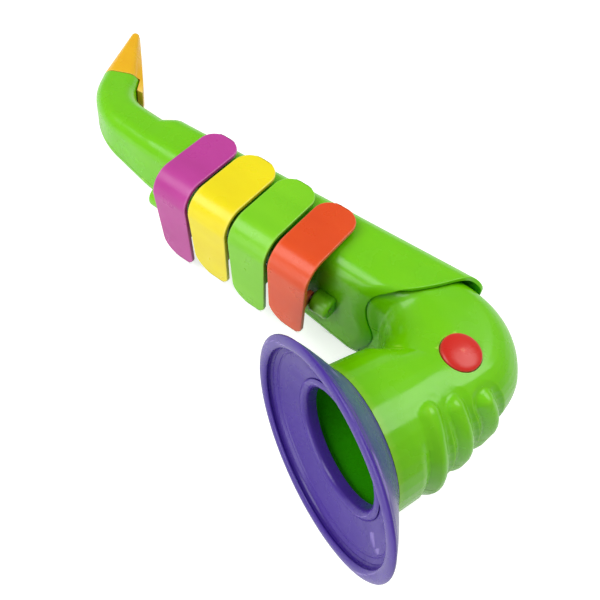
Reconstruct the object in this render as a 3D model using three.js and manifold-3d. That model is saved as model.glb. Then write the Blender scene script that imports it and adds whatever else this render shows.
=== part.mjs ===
// Toy saxophone in moulded plastic, with four hinged keys, each closing a tone hole over a brass reed.
//
// The instrument is drawn in its own frame: +X runs down the body from the neck to the bow, +Y from the
// front, where the bell and the key hinge are, to the back, and +Z to the near side, where the keys lie.
// The origin is on the mid plane, under the middle of the red button. At the end the whole instrument is
// turned to the way that it lies on a table, and its box is centred over the origin and rests on Z = 0.
import * as THREE from "three";
import { mergeVertices } from "three/addons/utils/BufferGeometryUtils.js";
import { ConvexHull } from "three/addons/math/ConvexHull.js";
import Module from "manifold-3d";

const wasm = await Module();
wasm.setup();

// Sizes are in millimetres and angles in degrees. Values named share or shares are plain ratios.

// Fits
const fitGap = 0.3; // between two pieces that touch
const overrun = 6; // how far a cutting shape runs past what it cuts
const reach = 400; // of a cut that takes everything on one side
const wall = 2.2; // thickness of the green shells

// Body: a straight tapered box with rounded edges, from the neck's shoulder to the slanted end lip
const bodyFront = 2; // from the mid line to the front face
const bodyLength = 197; // from the shoulder to the middle of the button
const shoulderDepth = 28.9;
const shoulderHalfThickness = 18.2;
const shoulderCorner = 8;
const bowEndDepth = 42.4;
const bowEndHalfThickness = 36.7;
const bowEndCorner = 11;
const shoulderRun = 8; // length of the rounded step from the neck
const lipFront = 47.4; // from the middle of the button to the end lip at the front face
const lipBack = 13; // and at the back face
const partingDepth = 9; // from the body's far face to the rear cover's edge

// Neck: leaves the shoulder straight, then turns back towards the player
const neckMiddle = 16; // from the mid line
const neckStraight = 15;
const neckBendRadius = 30;
const neckTurn = 58;
const neckEndStraight = 8.6;
const neckRootDepth = 24;
const neckRootHalfThickness = 16.4;
const neckRootCorner = 8;
const neckEndDepth = 20.4;
const neckEndHalfThickness = 11;
const neckEndCorner = 6;

// Mouthpiece: a wedge over a spigot on the neck's end
const mouthpieceLength = 38;
const tipDepth = 4.2;
const tipHalfWidth = 9.4;
const tipCorner = 1.9;
const windwayDepth = 1.1;
const windwayHalfWidth = 6;
const windwayCorner = 0.5;
const tongueReach = 9.5; // of the mouthpiece's inner side down past the joint
const tongueRise = 2.2; // from the wedge's inner side, at the joint
const tongueRiseShares = [0.2, 1, 0.1]; // at its lower end, by the joint and at the tip
const tongueCrestShare = 0.56; // of the wedge's thickness, at the tongue's crest
const tongueMiddleShare = 0.3; // and between its crest and its middle
const socketLength = 10;
const socketWall = 1.8;
const spigotWall = 1.6;

// Bow: the elbow between the body and the bell, in a near and a far half
const bowBendRadius = 36;
const bellAngle = 65.5; // between the bell's axis and the body
const tubeRadius = 35.6;
const bowSpigot = 13; // how far the bow reaches inside the body's lip
// growth of the section round the bend: its outer side, its inner side, and its rounding
const bowOuterShares = [0, 0.07, 0.24, 0.51, 0.8, 1.01, 1.12, 1.13, 0.97, 0.83, 0.75, 0.76, 0.864];
const bowInnerShares = [0, 0.08, 0.16, 0.25, 0.34, 0.43, 0.52, 0.61, 0.7, 0.79, 0.87, 0.94, 1];
const bowRoundShares = [0, 0.05, 0.12, 0.2, 0.3, 0.4, 0.5, 0.6, 0.7, 0.8, 0.88, 0.95, 1];
const ribRadius = 4.6;
const ribRise = 2.4;
const ribAngles = [7.5, -8, -23.5]; // of the ribs round the bend's centre
const ribReachShares = [0.7759, 0.8816, 0.9289]; // of the half thickness, to the middles of their round tips

// Red button, and the screw under it that holds the two halves of the bow together
const buttonRadius = 9.4;
const buttonSeat = 31; // height of the seat over the mid plane
const buttonTop = 36.4;
const buttonSideTop = 34.2;
const buttonStemRadius = 2.6;
const buttonStemLength = 4;
const seatWall = 2.4;
const postRadius = 5.4;
const bowScrewTop = 20;
const bowScrewEnd = -12;

// Bell
const bellFront = 64.5; // from the mid line to the middle of the rim
const bellSide = 21.7; // from the button to the middle of the rim, towards the neck
const bellRadius = 57;
const rimRadius = 3.2; // half the rim's width
const rimFlatShare = 0.47; // of the rim's height to its width
const collarStep = 0.4; // of the collar over the bow's tube
const collarDepth = 16.4; // from the rim's mid plane to the collar's end
const collarWall = 2.4;
const throatInset = 6.8; // of the throat ring's opening inside the tube's radius
const throatRing = 1.7;
const throatDepth = 8; // from the rim's mid plane to the throat ring
const throatFloor = 2.6; // thickness behind the ring, where the bow's tube stops
const bellSides = 42;
// The cone inside the bell and its back: distances from the rim's mid plane, and how far the radius has
// grown there from the throat ring, or from the collar, to the rim's middle
const coneDepths = [9, 7.8, 5.9, 4.9, 4.3, 4.5, 3.6, 3.1, 3.3, 2.2];
const coneGrowthShares = [0.0815, 0.3047, 0.5794, 0.691, 0.7167, 0.7425, 0.7983, 0.824, 0.8498, 0.8798];
const backDepths = [2.6, 4.6, 8, 10.8, 13, 14.4];
const backGrowthShares = [1.0337, 0.8202, 0.5056, 0.2584, 0.0899, 0.0169];

// Keys: a plate over the near side, a rounded bend and a tail in front of the body
const keyWidthShares = [0.2371, 0.2629, 0.2494, 0.2506]; // of the row's width less its spaces
const keyTailLengths = [53.2, 49, 53.2, 49]; // below the body's near face
const keySpace = 2;
const keyRowEnd = 25.4; // from the body's lip to the edge of the last key
const keyRowStart = 29.2; // and from the shoulder to the edge of the first key
const keyRise = 5.2; // from the body's near face to the top of the plate
const keyThickness = 2.4;
const keyReach = 29.6; // of the plate behind the mid line
const keyFront = 16.4; // from the mid line to the tail's outer face, level with the near face
const tailLean = 5.2; // of the tail towards the body, in degrees
const keyBend = 12; // outer radius of the bend
// Corners of the plate and the tail, and the taper of the tail's bow side, as shares of the key's width
const plateCornerShare = 0.422;
const tailNeckCornerShare = 0.494;
const tailBowCornerShare = 0.225;
const tailTaperShare = 0.072;

// Hinge rod, its two bosses on the body, and the two webs of each key
const rodRadius = 1.25;
const rodFront = 3; // from the mid line
const rodDepth = 28; // below the near face
const bossRadius = 7;
const bossFront = 1; // from the mid line to the boss's middle
const bossDepth = 30; // below the near face
const bossLength = 11;
const neckBossSpace = 4.6; // from the first key's edge to the boss
const bowBossCover = 3.2; // how far the other boss reaches in behind the last key
const hubRadius = 3.3;
const webThicknessShare = 0.118; // of the key's width
const webInsetShare = 0.17; // of the key's width
const webHalfRoot = 7;

// Key springs: a coil round the rod, with one leg on the body and one on the tail
const springWire = 0.4; // radius
const springRadius = 2.5; // from the rod's axis to the wire's
const springPitch = 1.35;
const springTurns = 3.5;
const bodyLegDrop = 8;
const tailLegDrop = 11;
const stepsPerTurn = 8;
const wireSides = 5;

// Tone holes with their pads, and the reed plate inside
const toneHoleRadius = 4.6;
const toneHoleBack = 16.5; // from the mid line
const padRadiusShare = 0.378; // of the key's width
const gasketThickness = 1;
const reedPlateThickness = 3;
const reedPlateWidth = 13;
const reedPlateMargin = 3.9; // past the outer keys' edges
const reedSlotLength = 7.4;
const reedSlotWidth = 3;
const reedLength = 11;
const reedWidth = 2.4;
const reedThickness = 0.5;
const reedRoot = 2; // from a reed's fixed end to its stake
const stakeRadius = 0.6;
const stakeHeight = 1;
const plateScrewInset = 4;
const plateBossRadius = 3.4;

// Screws
const screwRadius = 1.4;
const headRadius = 2.7;
const headHeight = 1.8;
const plateScrewLength = 6.2;
const coverScrewLength = 12;
const headRecess = 2.4;
const coverPostRadius = 3.8;
const coverPadHeight = 5.2; // from the far face to the top of a pad inside the cover
const coverScrewInset = 16; // from the shoulder to the first cover screw
const coverScrewShares = [0, 0.3565, 0.7739, 1]; // of the way from the first to the fourth
const coverScrewSpace = 5.6; // from the fourth to the end of the bow's spigot
const coverScrewReach = 10.4; // and from there to the fifth
const coverScrewBacks = [14, 27.4, 30.4, 10, 32.6]; // from the mid line

// Round pieces have this many sides, and a section's corner has this many steps
const roundSides = 28;
const smallSides = 12;
const cornerSteps = 5;

// Colours
const green = 0x6cc814;
const purple = 0xb43c98;
const yellow = 0xf0de14;
const lime = 0x78cc1c;
const red = 0xdc4620;
const buttonRed = 0xd0281e;
const violet = 0x5a3cae;
const amber = 0xf0ba1e;
const black = 0x2a2c2e;
const steel = 0xb4b8bc;
const brass = 0xc8a452;

const rad = THREE.MathUtils.degToRad;
const V = (x, y, z) => new THREE.Vector3(x, y, z);
const mix = THREE.MathUtils.lerp;
const headingAt = (degrees) => V(Math.cos(rad(degrees)), Math.sin(rad(degrees)), 0);

// Solids

// A geometry as a solid. Points that coincide are joined, and the slivers that this leaves are dropped.
function solid(geometry) {
  const bare = geometry.index ? geometry.toNonIndexed() : geometry;
  const points = new THREE.BufferGeometry();
  points.setAttribute("position", bare.getAttribute("position"));
  const merged = mergeVertices(points);
  const corners = merged.index.array;
  const kept = [];
  for (let i = 0; i < corners.length; i += 3) {
    const [a, b, c] = corners.slice(i, i + 3);
    if (a !== b && b !== c && c !== a) kept.push(a, b, c);
  }
  const vertProperties = merged.attributes.position.array;
  return new wasm.Manifold(new wasm.Mesh({ numProp: 3, vertProperties, triVerts: new Uint32Array(kept) }));
}

// A solid as a geometry with flat faces.
function geometryOf(body) {
  const { vertProperties, triVerts } = body.getMesh();
  const geometry = new THREE.BufferGeometry();
  geometry.setAttribute("position", new THREE.BufferAttribute(vertProperties, 3));
  geometry.setIndex(new THREE.BufferAttribute(triVerts, 1));
  const faceted = geometry.toNonIndexed();
  faceted.computeVertexNormals();
  return faceted;
}

const joined = (bodies) => bodies.reduce((sum, each) => sum.add(each));

// A closed body through a row of rings with as many points each, and a fan over both ends.
function loft(rings) {
  const sides = rings[0].length;
  const points = rings.flat();
  const index = [];
  for (let r = 0; r < rings.length - 1; r++) {
    for (let i = 0; i < sides; i++) {
      const a = r * sides + i;
      const b = r * sides + ((i + 1) % sides);
      index.push(a, b, b + sides, a, b + sides, a + sides);
    }
  }
  for (const first of [0, (rings.length - 1) * sides]) {
    const middle = V(0, 0, 0);
    for (let i = 0; i < sides; i++) middle.add(points[first + i]);
    points.push(middle.divideScalar(sides));
    for (let i = 0; i < sides; i++) {
      const a = first + i;
      const b = first + ((i + 1) % sides);
      if (first) index.push(points.length - 1, a, b);
      else index.push(points.length - 1, b, a);
    }
  }
  const geometry = new THREE.BufferGeometry().setFromPoints(points);
  geometry.setIndex(index);
  return solid(geometry);
}

// A box between two corners.
function block(low, high) {
  const size = high.clone().sub(low);
  const middle = low.clone().add(high).divideScalar(2);
  return solid(new THREE.BoxGeometry(size.x, size.y, size.z).translate(middle.x, middle.y, middle.z));
}

// A cylinder that starts at a point and runs along an axis.
function rod(start, axis, length, radius, sides = roundSides) {
  const geometry = new THREE.CylinderGeometry(radius, radius, length, sides);
  geometry.translate(0, length / 2, 0);
  geometry.applyQuaternion(new THREE.Quaternion().setFromUnitVectors(V(0, 1, 0), axis));
  return solid(geometry.translate(start.x, start.y, start.z));
}
const X = V(1, 0, 0);
const Y = V(0, 1, 0);
const Z = V(0, 0, 1);

// An outline extruded between two distances, along Z for [x, y] points, along X for [y, z] points and
// along Y for [x, z] points.
function extrude(outline, low, high, along) {
  const shape = new THREE.Shape(outline.map(([u, v]) => new THREE.Vector2(u, v)));
  const geometry = new THREE.ExtrudeGeometry(shape, { depth: high - low, bevelEnabled: false });
  const basis = new THREE.Matrix4();
  if (along === Z) geometry.translate(0, 0, low);
  if (along === X) geometry.applyMatrix4(basis.makeBasis(Y, Z, X).setPosition(low, 0, 0));
  if (along === Y) geometry.applyMatrix4(basis.makeBasis(X, Z, V(0, -1, 0)).setPosition(0, high, 0));
  return solid(geometry);
}

// Points of an arc with both its ends, as [u, v] pairs.
function arc(u, v, radius, from, to, steps = cornerSteps) {
  const points = [];
  for (let i = 0; i <= steps; i++) {
    const angle = rad(mix(from, to, i / steps));
    points.push([u + radius * Math.cos(angle), v + radius * Math.sin(angle)]);
  }
  return points;
}

// A profile of [radius, height] points turned about an axis through a place.
function turned(profile, place, axis, sides) {
  const points = [...profile, profile[0]].map(([r, h]) => new THREE.Vector2(r, h));
  const geometry = new THREE.LatheGeometry(points, sides);
  geometry.applyQuaternion(new THREE.Quaternion().setFromUnitVectors(Y, axis));
  return solid(geometry.translate(place.x, place.y, place.z));
}

// A wire through points, whose ends are rounded over the wire's own radius when asked.
function wire(points, radius, sides, sideways, roundEnds) {
  const path = points.map((point) => ({ point, radius }));
  if (roundEnds) {
    const capShares = [0.5, 0.87, 1];
    for (const end of [0, 1]) {
      const tip = points.at(end ? -1 : 0);
      const out = tip.clone().sub(points.at(end ? -2 : 1)).normalize();
      for (const share of capShares) {
        const point = tip.clone().addScaledVector(out, radius * share);
        const cap = { point, radius: radius * Math.max(Math.sqrt(1 - share * share), 0.1) };
        if (end) path.push(cap);
        else path.unshift(cap);
      }
    }
  }
  const rings = path.map(({ point, radius: own }, i) => {
    const before = path[Math.max(i - 1, 0)].point;
    const after = path[Math.min(i + 1, path.length - 1)].point;
    const along = after.clone().sub(before).normalize();
    const u = sideways.clone().cross(along).normalize();
    const v = along.clone().cross(u);
    return Array.from({ length: sides }, (_, k) => {
      const angle = (2 * Math.PI * k) / sides;
      const ring = point.clone().addScaledVector(u, own * Math.cos(angle));
      return ring.addScaledVector(v, own * Math.sin(angle));
    });
  });
  return loft(rings);
}

// The instrument's route: stations with a place on the mid plane, a heading and a section, which is a
// rounded rectangle square to the heading

function station(place, heading, halfDepth, halfThickness, corner) {
  return { place, heading, halfDepth, halfThickness, corner };
}

// The same station with its section set in by a distance.
function setIn(each, distance) {
  const halfDepth = each.halfDepth - distance;
  const halfThickness = each.halfThickness - distance;
  const corner = Math.max(each.corner - distance, fitGap);
  return { ...each, halfDepth, halfThickness, corner };
}

function ringAt({ place, heading, halfDepth, halfThickness, corner }) {
  const across = headingAt(heading + 90);
  const r = Math.min(corner, halfDepth, halfThickness);
  const ring = [];
  for (const [quarter, [signU, signV]] of [[1, 1], [-1, 1], [-1, -1], [1, -1]].entries()) {
    const middleU = signU * (halfDepth - r);
    const middleV = signV * (halfThickness - r);
    for (const [u, v] of arc(middleU, middleV, r, 90 * quarter, 90 * (quarter + 1))) {
      ring.push(place.clone().addScaledVector(across, u).addScaledVector(Z, v));
    }
  }
  return ring;
}

const sweep = (stations, inset = 0) => loft(stations.map((each) => ringAt(setIn(each, inset))));

// The body's section at a place along X. The front face is straight and the other three taper.
function bodyStation(x) {
  const share = (x + bodyLength) / bodyLength;
  const depth = mix(shoulderDepth, bowEndDepth, share);
  const half = mix(shoulderHalfThickness, bowEndHalfThickness, share);
  const corner = mix(shoulderCorner, bowEndCorner, share);
  return station(V(x, bodyFront + depth / 2, 0), 0, depth / 2, half, corner);
}
const faceSlope = (bowEndHalfThickness - shoulderHalfThickness) / bodyLength;

// Neck stations, walked from the shoulder to the mouthpiece and then turned round
const neckLength = neckStraight + rad(neckTurn) * neckBendRadius + neckEndStraight;
const neckOut = headingAt(180 - neckTurn);

function neckStation(place, distance, turn) {
  const share = distance / neckLength;
  const depth = mix(neckRootDepth, neckEndDepth, share);
  const half = mix(neckRootHalfThickness, neckEndHalfThickness, share);
  return station(place, -turn, depth / 2, half, mix(neckRootCorner, neckEndCorner, share));
}

function neckStations() {
  const root = V(-bodyLength, neckMiddle, 0);
  const centre = root.clone().add(V(-neckStraight, neckBendRadius, 0));
  const stations = [neckStation(root, 0, 0)];
  const steps = 8;
  for (let i = 0; i <= steps; i++) {
    const turn = (neckTurn * i) / steps;
    const place = centre.clone().addScaledVector(headingAt(-90 - turn), neckBendRadius);
    stations.push(neckStation(place, neckStraight + rad(turn) * neckBendRadius, turn));
  }
  const end = stations.at(-1).place.clone().addScaledVector(neckOut, neckEndStraight);
  stations.push(neckStation(end, neckLength, neckTurn));
  return stations.reverse();
}
const neckRoute = neckStations();
const neckEnd = neckRoute[0];

// The rounded step from the neck's section up to the body's.
function shoulderStations() {
  const from = neckRoute.at(-1);
  const steps = 4;
  return Array.from({ length: steps }, (_, i) => {
    const share = (i + 1) / steps;
    const rise = Math.sin((Math.PI / 2) * share);
    const to = bodyStation(-bodyLength + shoulderRun * share);
    return station(
      V(to.place.x, mix(from.place.y, to.place.y, rise), 0),
      0,
      mix(from.halfDepth, to.halfDepth, rise),
      mix(from.halfThickness, to.halfThickness, rise),
      mix(from.corner, to.corner, rise),
    );
  });
}
const bodyRoute = [...neckRoute, ...shoulderStations(), bodyStation(overrun)];

// Bow. Its stations lie on rays from the bend's centre, which is as far from the body's middle line as
// from the bell's axis. On each ray the tables give how far the outer and the inner side have grown
// from the body's section to the tube's.
const bellPlace = V(-bellSide, -bellFront, 0);
const bellOut = headingAt(180 + bellAngle);
const collarEnd = bellPlace.clone().addScaledVector(bellOut, -collarDepth);
const bowTurn = 180 - bellAngle;
const bodyMiddle = bodyStation(-lipFront).place.y;
const axisRun = (bodyMiddle - collarEnd.y) / -bellOut.y;
const bowStartX = collarEnd.x - bellOut.x * axisRun - bowBendRadius * Math.tan(rad(bowTurn / 2));
const bowCentre = V(bowStartX, bodyMiddle - bowBendRadius, 0);
const bowInset = wall + fitGap;

function bowStations() {
  const start = setIn(bodyStation(bowStartX), bowInset);
  const startY = start.place.y - bowCentre.y;
  const stations = [setIn(bodyStation(bowStartX - lipFront), bowInset)];
  const steps = bowOuterShares.length - 1;
  for (let i = 0; i <= steps; i++) {
    const turn = (bowTurn * i) / steps;
    const outer = mix(startY + start.halfDepth, bowBendRadius + tubeRadius, bowOuterShares[i]);
    const inner = mix(startY - start.halfDepth, bowBendRadius - tubeRadius, bowInnerShares[i]);
    const place = bowCentre.clone().addScaledVector(headingAt(90 - turn), (outer + inner) / 2);
    const half = mix(start.halfThickness, tubeRadius, bowRoundShares[i]);
    const corner = mix(start.corner, tubeRadius, bowRoundShares[i]);
    stations.push(station(place, -turn, (outer - inner) / 2, half, corner));
  }
  const end = collarEnd.clone().addScaledVector(bellOut, -fitGap);
  stations.push(station(end, -bowTurn, tubeRadius, tubeRadius, tubeRadius));
  return stations;
}
const bowRoute = bowStations();

// The part of space on the bow's side of the body's end lip, shifted along X.
function beyondLip(shift) {
  const slope = (lipFront - lipBack) / bowEndDepth;
  const low = [-lipFront + shift - slope * reach, bodyFront - reach];
  const high = [-lipFront + shift + slope * reach, bodyFront + reach];
  return extrude([low, [2 * reach, low[1]], [2 * reach, high[1]], high], -reach, reach, Z);
}

// The part of space on the far side of the parting plane between the body shell and the rear cover.
function beyondParting(shift) {
  const height = (x) => -bowEndHalfThickness - faceSlope * x + partingDepth + shift;
  const outline = [[-reach, -reach], [reach, -reach], [reach, height(reach)], [-reach, height(-reach)]];
  return extrude(outline, -reach, reach, Y);
}

// Frames on the body's near and far faces: X along the face towards the bow, Y as the instrument's,
// and Z out of the near face, or into the body from the far face
const faceTilt = Math.atan(faceSlope);
const nearFrame = new THREE.Matrix4().makeRotationY(-faceTilt).setPosition(0, 0, bowEndHalfThickness);
const farFrame = new THREE.Matrix4().makeRotationY(faceTilt).setPosition(0, 0, -bowEndHalfThickness);
const onNear = (body) => body.transform(nearFrame.elements);
const onFar = (body) => body.transform(farFrame.elements);

// Places of the keys along the row, from the neck to the bow
const keyPlaces = [];
const keyRowWidth = bodyLength - lipFront - keyRowEnd - keyRowStart;
const keySpaces = (keyWidthShares.length - 1) * keySpace;
const keyWidths = keyWidthShares.map((share) => (keyRowWidth - keySpaces) * share);
for (const [i, width] of keyWidths.entries()) {
  const after = keyWidths.slice(i + 1).reduce((sum, each) => sum + each + keySpace, 0);
  const high = -lipFront - keyRowEnd - after;
  keyPlaces.push({ low: high - width, middle: high - width / 2, high });
}
const tailSlope = Math.tan(rad(tailLean));
const tailFace = (z) => -keyFront - tailSlope * z; // Y of the tail's outer face at a height
const hingeLow = keyPlaces[0].low - neckBossSpace - bossLength;
const hingeHigh = keyPlaces.at(-1).high - bowBossCover + bossLength;

// Body shell and rear cover

const bodyOuter = sweep(bodyRoute).subtract(beyondLip(0));
const bodyCore = sweep(bodyRoute, wall / 2);
const innerEnd = neckEnd.place.clone().addScaledVector(neckOut, -wall);
const innerRoute = [{ ...neckEnd, place: innerEnd }, ...bodyRoute.slice(1, -1), bodyStation(2 * overrun)];
const bodyInner = sweep(innerRoute, wall);

// The wedge that the mouthpiece follows, at a distance from the neck's end.
function wedgeStation(distance, inset) {
  const share = distance / mouthpieceLength;
  const place = neckEnd.place.clone().addScaledVector(neckOut, distance);
  const depth = mix(neckEndDepth, tipDepth, share) / 2;
  const half = mix(neckEndHalfThickness, tipHalfWidth, share);
  const full = station(place, 180 - neckTurn, depth, half, mix(neckEndCorner, tipCorner, share));
  return setIn(full, inset);
}
const spigotInset = socketWall + fitGap;
const spigotEnd = socketLength - fitGap;
const neckSpigot = sweep([wedgeStation(-wall, spigotInset), wedgeStation(spigotEnd, spigotInset)]);
const neckBore = sweep([
  wedgeStation(-2 * wall, spigotInset + spigotWall),
  wedgeStation(spigotEnd + fitGap, spigotInset + spigotWall),
]);

// The two bosses of the hinge rod. Where the rear cover runs behind one, it stands clear of the cover.
const rodLine = (x) => V(x, -rodFront, -rodDepth);
const bossBore = onNear(rod(rodLine(hingeLow + wall), X, reach, rodRadius + fitGap, smallSides));
const aroundFront = block(V(-reach, bodyFront - fitGap, -reach), V(reach, reach, reach));
const rodBosses = [hingeLow, hingeHigh - bossLength].map((x) => {
  const round = rod(V(x, -bossFront, -bossDepth), X, bossLength, bossRadius);
  const low = V(x, -bossFront, -bossDepth - bossRadius);
  const root = block(low, V(x + bossLength, bodyFront + wall / 2, -bossDepth + bossRadius));
  return onNear(round.add(root)).subtract(bodyInner);
});

// Tone holes, and the bosses for the screws of the reed plate under the near wall
const plateLow = keyPlaces[0].low - reedPlateMargin;
const plateHigh = keyPlaces.at(-1).high + reedPlateMargin;
const plateTop = -wall - 2 * fitGap - gasketThickness;
const plateBottom = plateTop - reedPlateThickness;
const plateScrews = [plateLow + plateScrewInset, plateHigh - plateScrewInset];
const toneHoles = (low, high) =>
  keyPlaces.map(({ middle }) => rod(V(middle, toneHoleBack, low), Z, high - low, toneHoleRadius));
const plateScrewHoles = (low, high, radius) =>
  plateScrews.map((x) => rod(V(x, toneHoleBack, low), Z, high - low, radius, smallSides));
const plateBosses = plateScrewHoles(plateTop + fitGap, -wall / 2, plateBossRadius).map(onNear);
const plateBossBores = plateScrewHoles(plateBottom, -fitGap * 3, screwRadius + fitGap).map(onNear);

// Posts inside the shell and pads inside the cover, both along the far frame's Z
const firstScrew = -bodyLength + coverScrewInset;
const bowSpigotEnd = -lipFront - bowSpigot;
const rowOfFour = coverScrewShares.map((share) => mix(firstScrew, bowSpigotEnd - coverScrewSpace, share));
const coverScrewPlaces = [...rowOfFour, bowSpigotEnd + coverScrewReach];
const coverColumn = (low, high, radius) =>
  coverScrewPlaces.map((x, i) => {
    const column = rod(V(x, coverScrewBacks[i], low), Z, high - low, radius, smallSides);
    return onFar(column);
  });
const coverPosts = coverColumn(coverPadHeight + fitGap, reach, coverPostRadius).map((post) =>
  post.intersect(bodyCore),
);
const coverPostBores = coverColumn(0, headRecess + coverScrewLength + fitGap, screwRadius + fitGap);
const coverPads = coverColumn(wall / 2, coverPadHeight, coverPostRadius);
const headRecesses = coverColumn(-overrun, headRecess, headRadius + fitGap);

const hollowBody = bodyOuter.add(neckSpigot).subtract(bodyInner).subtract(neckBore);
const bodyShell = hollowBody
  .subtract(beyondParting(fitGap / 2))
  .add(joined(coverPosts))
  .add(joined(plateBosses))
  .add(joined(rodBosses).subtract(beyondParting(fitGap / 2).intersect(aroundFront)))
  .subtract(bossBore)
  .subtract(joined(coverPostBores))
  .subtract(joined(plateBossBores))
  .subtract(joined(toneHoles(-wall - overrun, overrun).map(onNear)));
const rearCover = hollowBody
  .intersect(beyondParting(-fitGap / 2))
  .add(joined(coverPads).intersect(bodyOuter))
  .subtract(joined(headRecesses))
  .subtract(joined(coverPostBores));

// Mouthpiece: a wedge whose inner side rises to a tongue. Below the joint only the tongue runs on, clear
// of the neck.
const innerWay = headingAt(90 - neckTurn);
function wedgeRing(distance, riseShare) {
  const { place, halfDepth, halfThickness } = wedgeStation(distance, 0);
  const ring = ringAt(wedgeStation(distance, 0));
  const first = 2 * cornerSteps;
  const sides = [tongueCrestShare, tongueMiddleShare, -tongueMiddleShare, -tongueCrestShare];
  for (const [i, side] of sides.entries()) {
    const crest = place.clone().addScaledVector(innerWay, halfDepth + tongueRise * riseShare);
    ring[first + i] = crest.addScaledVector(Z, side * halfThickness);
  }
  return ring;
}
const wedge = loft([
  wedgeRing(-tongueReach, tongueRiseShares[0]),
  wedgeRing(-wall, tongueRiseShares[1]),
  wedgeRing(mouthpieceLength - tipCorner, tongueRiseShares[2]),
  wedgeRing(mouthpieceLength, 0),
]);
const overNeck = (run) => mix(neckEndDepth, neckRootDepth, run / neckLength) / 2 + fitGap;
const tongueEnd = tongueReach + overrun;
const underTongue = [
  [fitGap, -reach],
  [fitGap, overNeck(0)],
  [-tongueEnd, overNeck(tongueEnd)],
  [-tongueEnd, -reach],
].map(([run, depth]) => {
  const corner = neckEnd.place.clone().addScaledVector(neckOut, run).addScaledVector(innerWay, depth);
  return [corner.x, corner.y];
});
const socket = sweep([wedgeStation(-overrun, socketWall), wedgeStation(socketLength, socketWall)]);
const windwayRoot = setIn(wedgeStation(socketLength / 2, 0), spigotInset + spigotWall);
const windwayTip = station(
  neckEnd.place.clone().addScaledVector(neckOut, mouthpieceLength + overrun),
  180 - neckTurn,
  windwayDepth / 2,
  windwayHalfWidth,
  windwayCorner,
);
const mouthpiece = wedge
  .subtract(extrude(underTongue, -reach, reach, Z))
  .subtract(socket)
  .subtract(sweep([windwayRoot, windwayTip]));

// Bow

// A rib's middle line: the section on a ray from the bend's centre, sunk under the surface.
function ribLine(angle, reachShare) {
  const place = ((90 - angle) / bowTurn) * (bowOuterShares.length - 1);
  const before = bowRoute[1 + Math.floor(place)];
  const after = bowRoute[2 + Math.floor(place)];
  const share = place % 1;
  const out = headingAt(angle);
  const half = mix(before.halfThickness, after.halfThickness, share);
  const corner = mix(before.corner, after.corner, share);
  const side = (each) => each.place.distanceTo(bowCentre) + each.halfDepth;
  const outer = mix(side(before), side(after), share);
  const sink = ribRadius - ribRise;
  const steps = 14;
  const spread = Math.asin(reachShare);
  return Array.from({ length: steps + 1 }, (_, i) => {
    const z = (half - sink) * Math.sin(mix(spread, -spread, i / steps));
    const over = Math.max(Math.abs(z) - (half - corner), 0) / (corner - sink);
    const drop = (corner - sink) * (1 - Math.sqrt(Math.max(1 - over * over, 0)));
    return bowCentre.clone().addScaledVector(out, outer - sink - drop).addScaledVector(Z, z);
  });
}
const ribs = ribAngles.map((angle, i) =>
  wire(ribLine(angle, ribReachShares[i]), ribRadius, smallSides, headingAt(angle - 90), true),
);

const collarRadius = tubeRadius + collarStep;
const collarBore = collarRadius - collarWall;
const spigotRadius = collarBore - fitGap;
const tubeStart = collarEnd.clone().addScaledVector(bellOut, -overrun);
const tubeLength = overrun + collarDepth - throatDepth - throatFloor - fitGap;
const tubeSpigot = rod(tubeStart, bellOut, tubeLength, spigotRadius, bellSides);
const tubeBoreStart = tubeStart.clone().addScaledVector(bellOut, -fitGap);
const tubeBore = rod(tubeBoreStart, bellOut, reach, spigotRadius - wall, bellSides);
const boreEnd = { ...bowRoute.at(-1), place: collarEnd.clone().addScaledVector(bellOut, -2 * wall) };
const boreStart = setIn(bodyStation(bowStartX - 2 * lipFront), bowInset);
const boreRoute = [boreStart, ...bowRoute.slice(1, -1), boreEnd];
const seatPad = rod(V(0, 0, buttonSeat - seatWall), Z, reach, buttonRadius + seatWall);
const centrePost = rod(V(0, 0, -reach), Z, 2 * reach, postRadius, smallSides);
const bowSolid = sweep(bowRoute);
const bowHollow = bowSolid
  .subtract(sweep(boreRoute, wall))
  .add(joined(ribs).subtract(sweep(bowRoute, wall / 2)))
  .add(tubeSpigot)
  .subtract(tubeBore)
  .add(seatPad.add(centrePost).intersect(sweep(bowRoute, wall / 4)))
  .intersect(beyondLip(-bowSpigot));
const buttonRecess = rod(V(0, 0, buttonSeat), Z, reach, buttonRadius + fitGap);
const screwWell = rod(V(0, 0, bowScrewTop - headHeight - fitGap), Z, reach, headRadius + fitGap, smallSides);
const screwBore = rod(V(0, 0, bowScrewEnd - fitGap), Z, reach, screwRadius + fitGap, smallSides);
const nearHalf = block(V(-reach, -reach, fitGap / 2), V(reach, reach, reach));
const farHalf = block(V(-reach, -reach, -reach), V(reach, reach, -fitGap / 2));
const bowBored = bowHollow.subtract(buttonRecess).subtract(screwWell).subtract(screwBore);

// Red button
const buttonStem = rod(V(0, 0, buttonSeat - buttonStemLength), Z, buttonStemLength + wall, buttonStemRadius);
const domeSteps = 5;
const dome = Array.from({ length: domeSteps + 1 }, (_, i) => {
  const angle = ((Math.PI / 2) * i) / domeSteps;
  return [buttonRadius * Math.cos(angle), mix(buttonSideTop, buttonTop, Math.sin(angle))];
});
const buttonProfile = [[0, buttonSeat + fitGap], [buttonRadius, buttonSeat + fitGap], ...dome];

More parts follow.
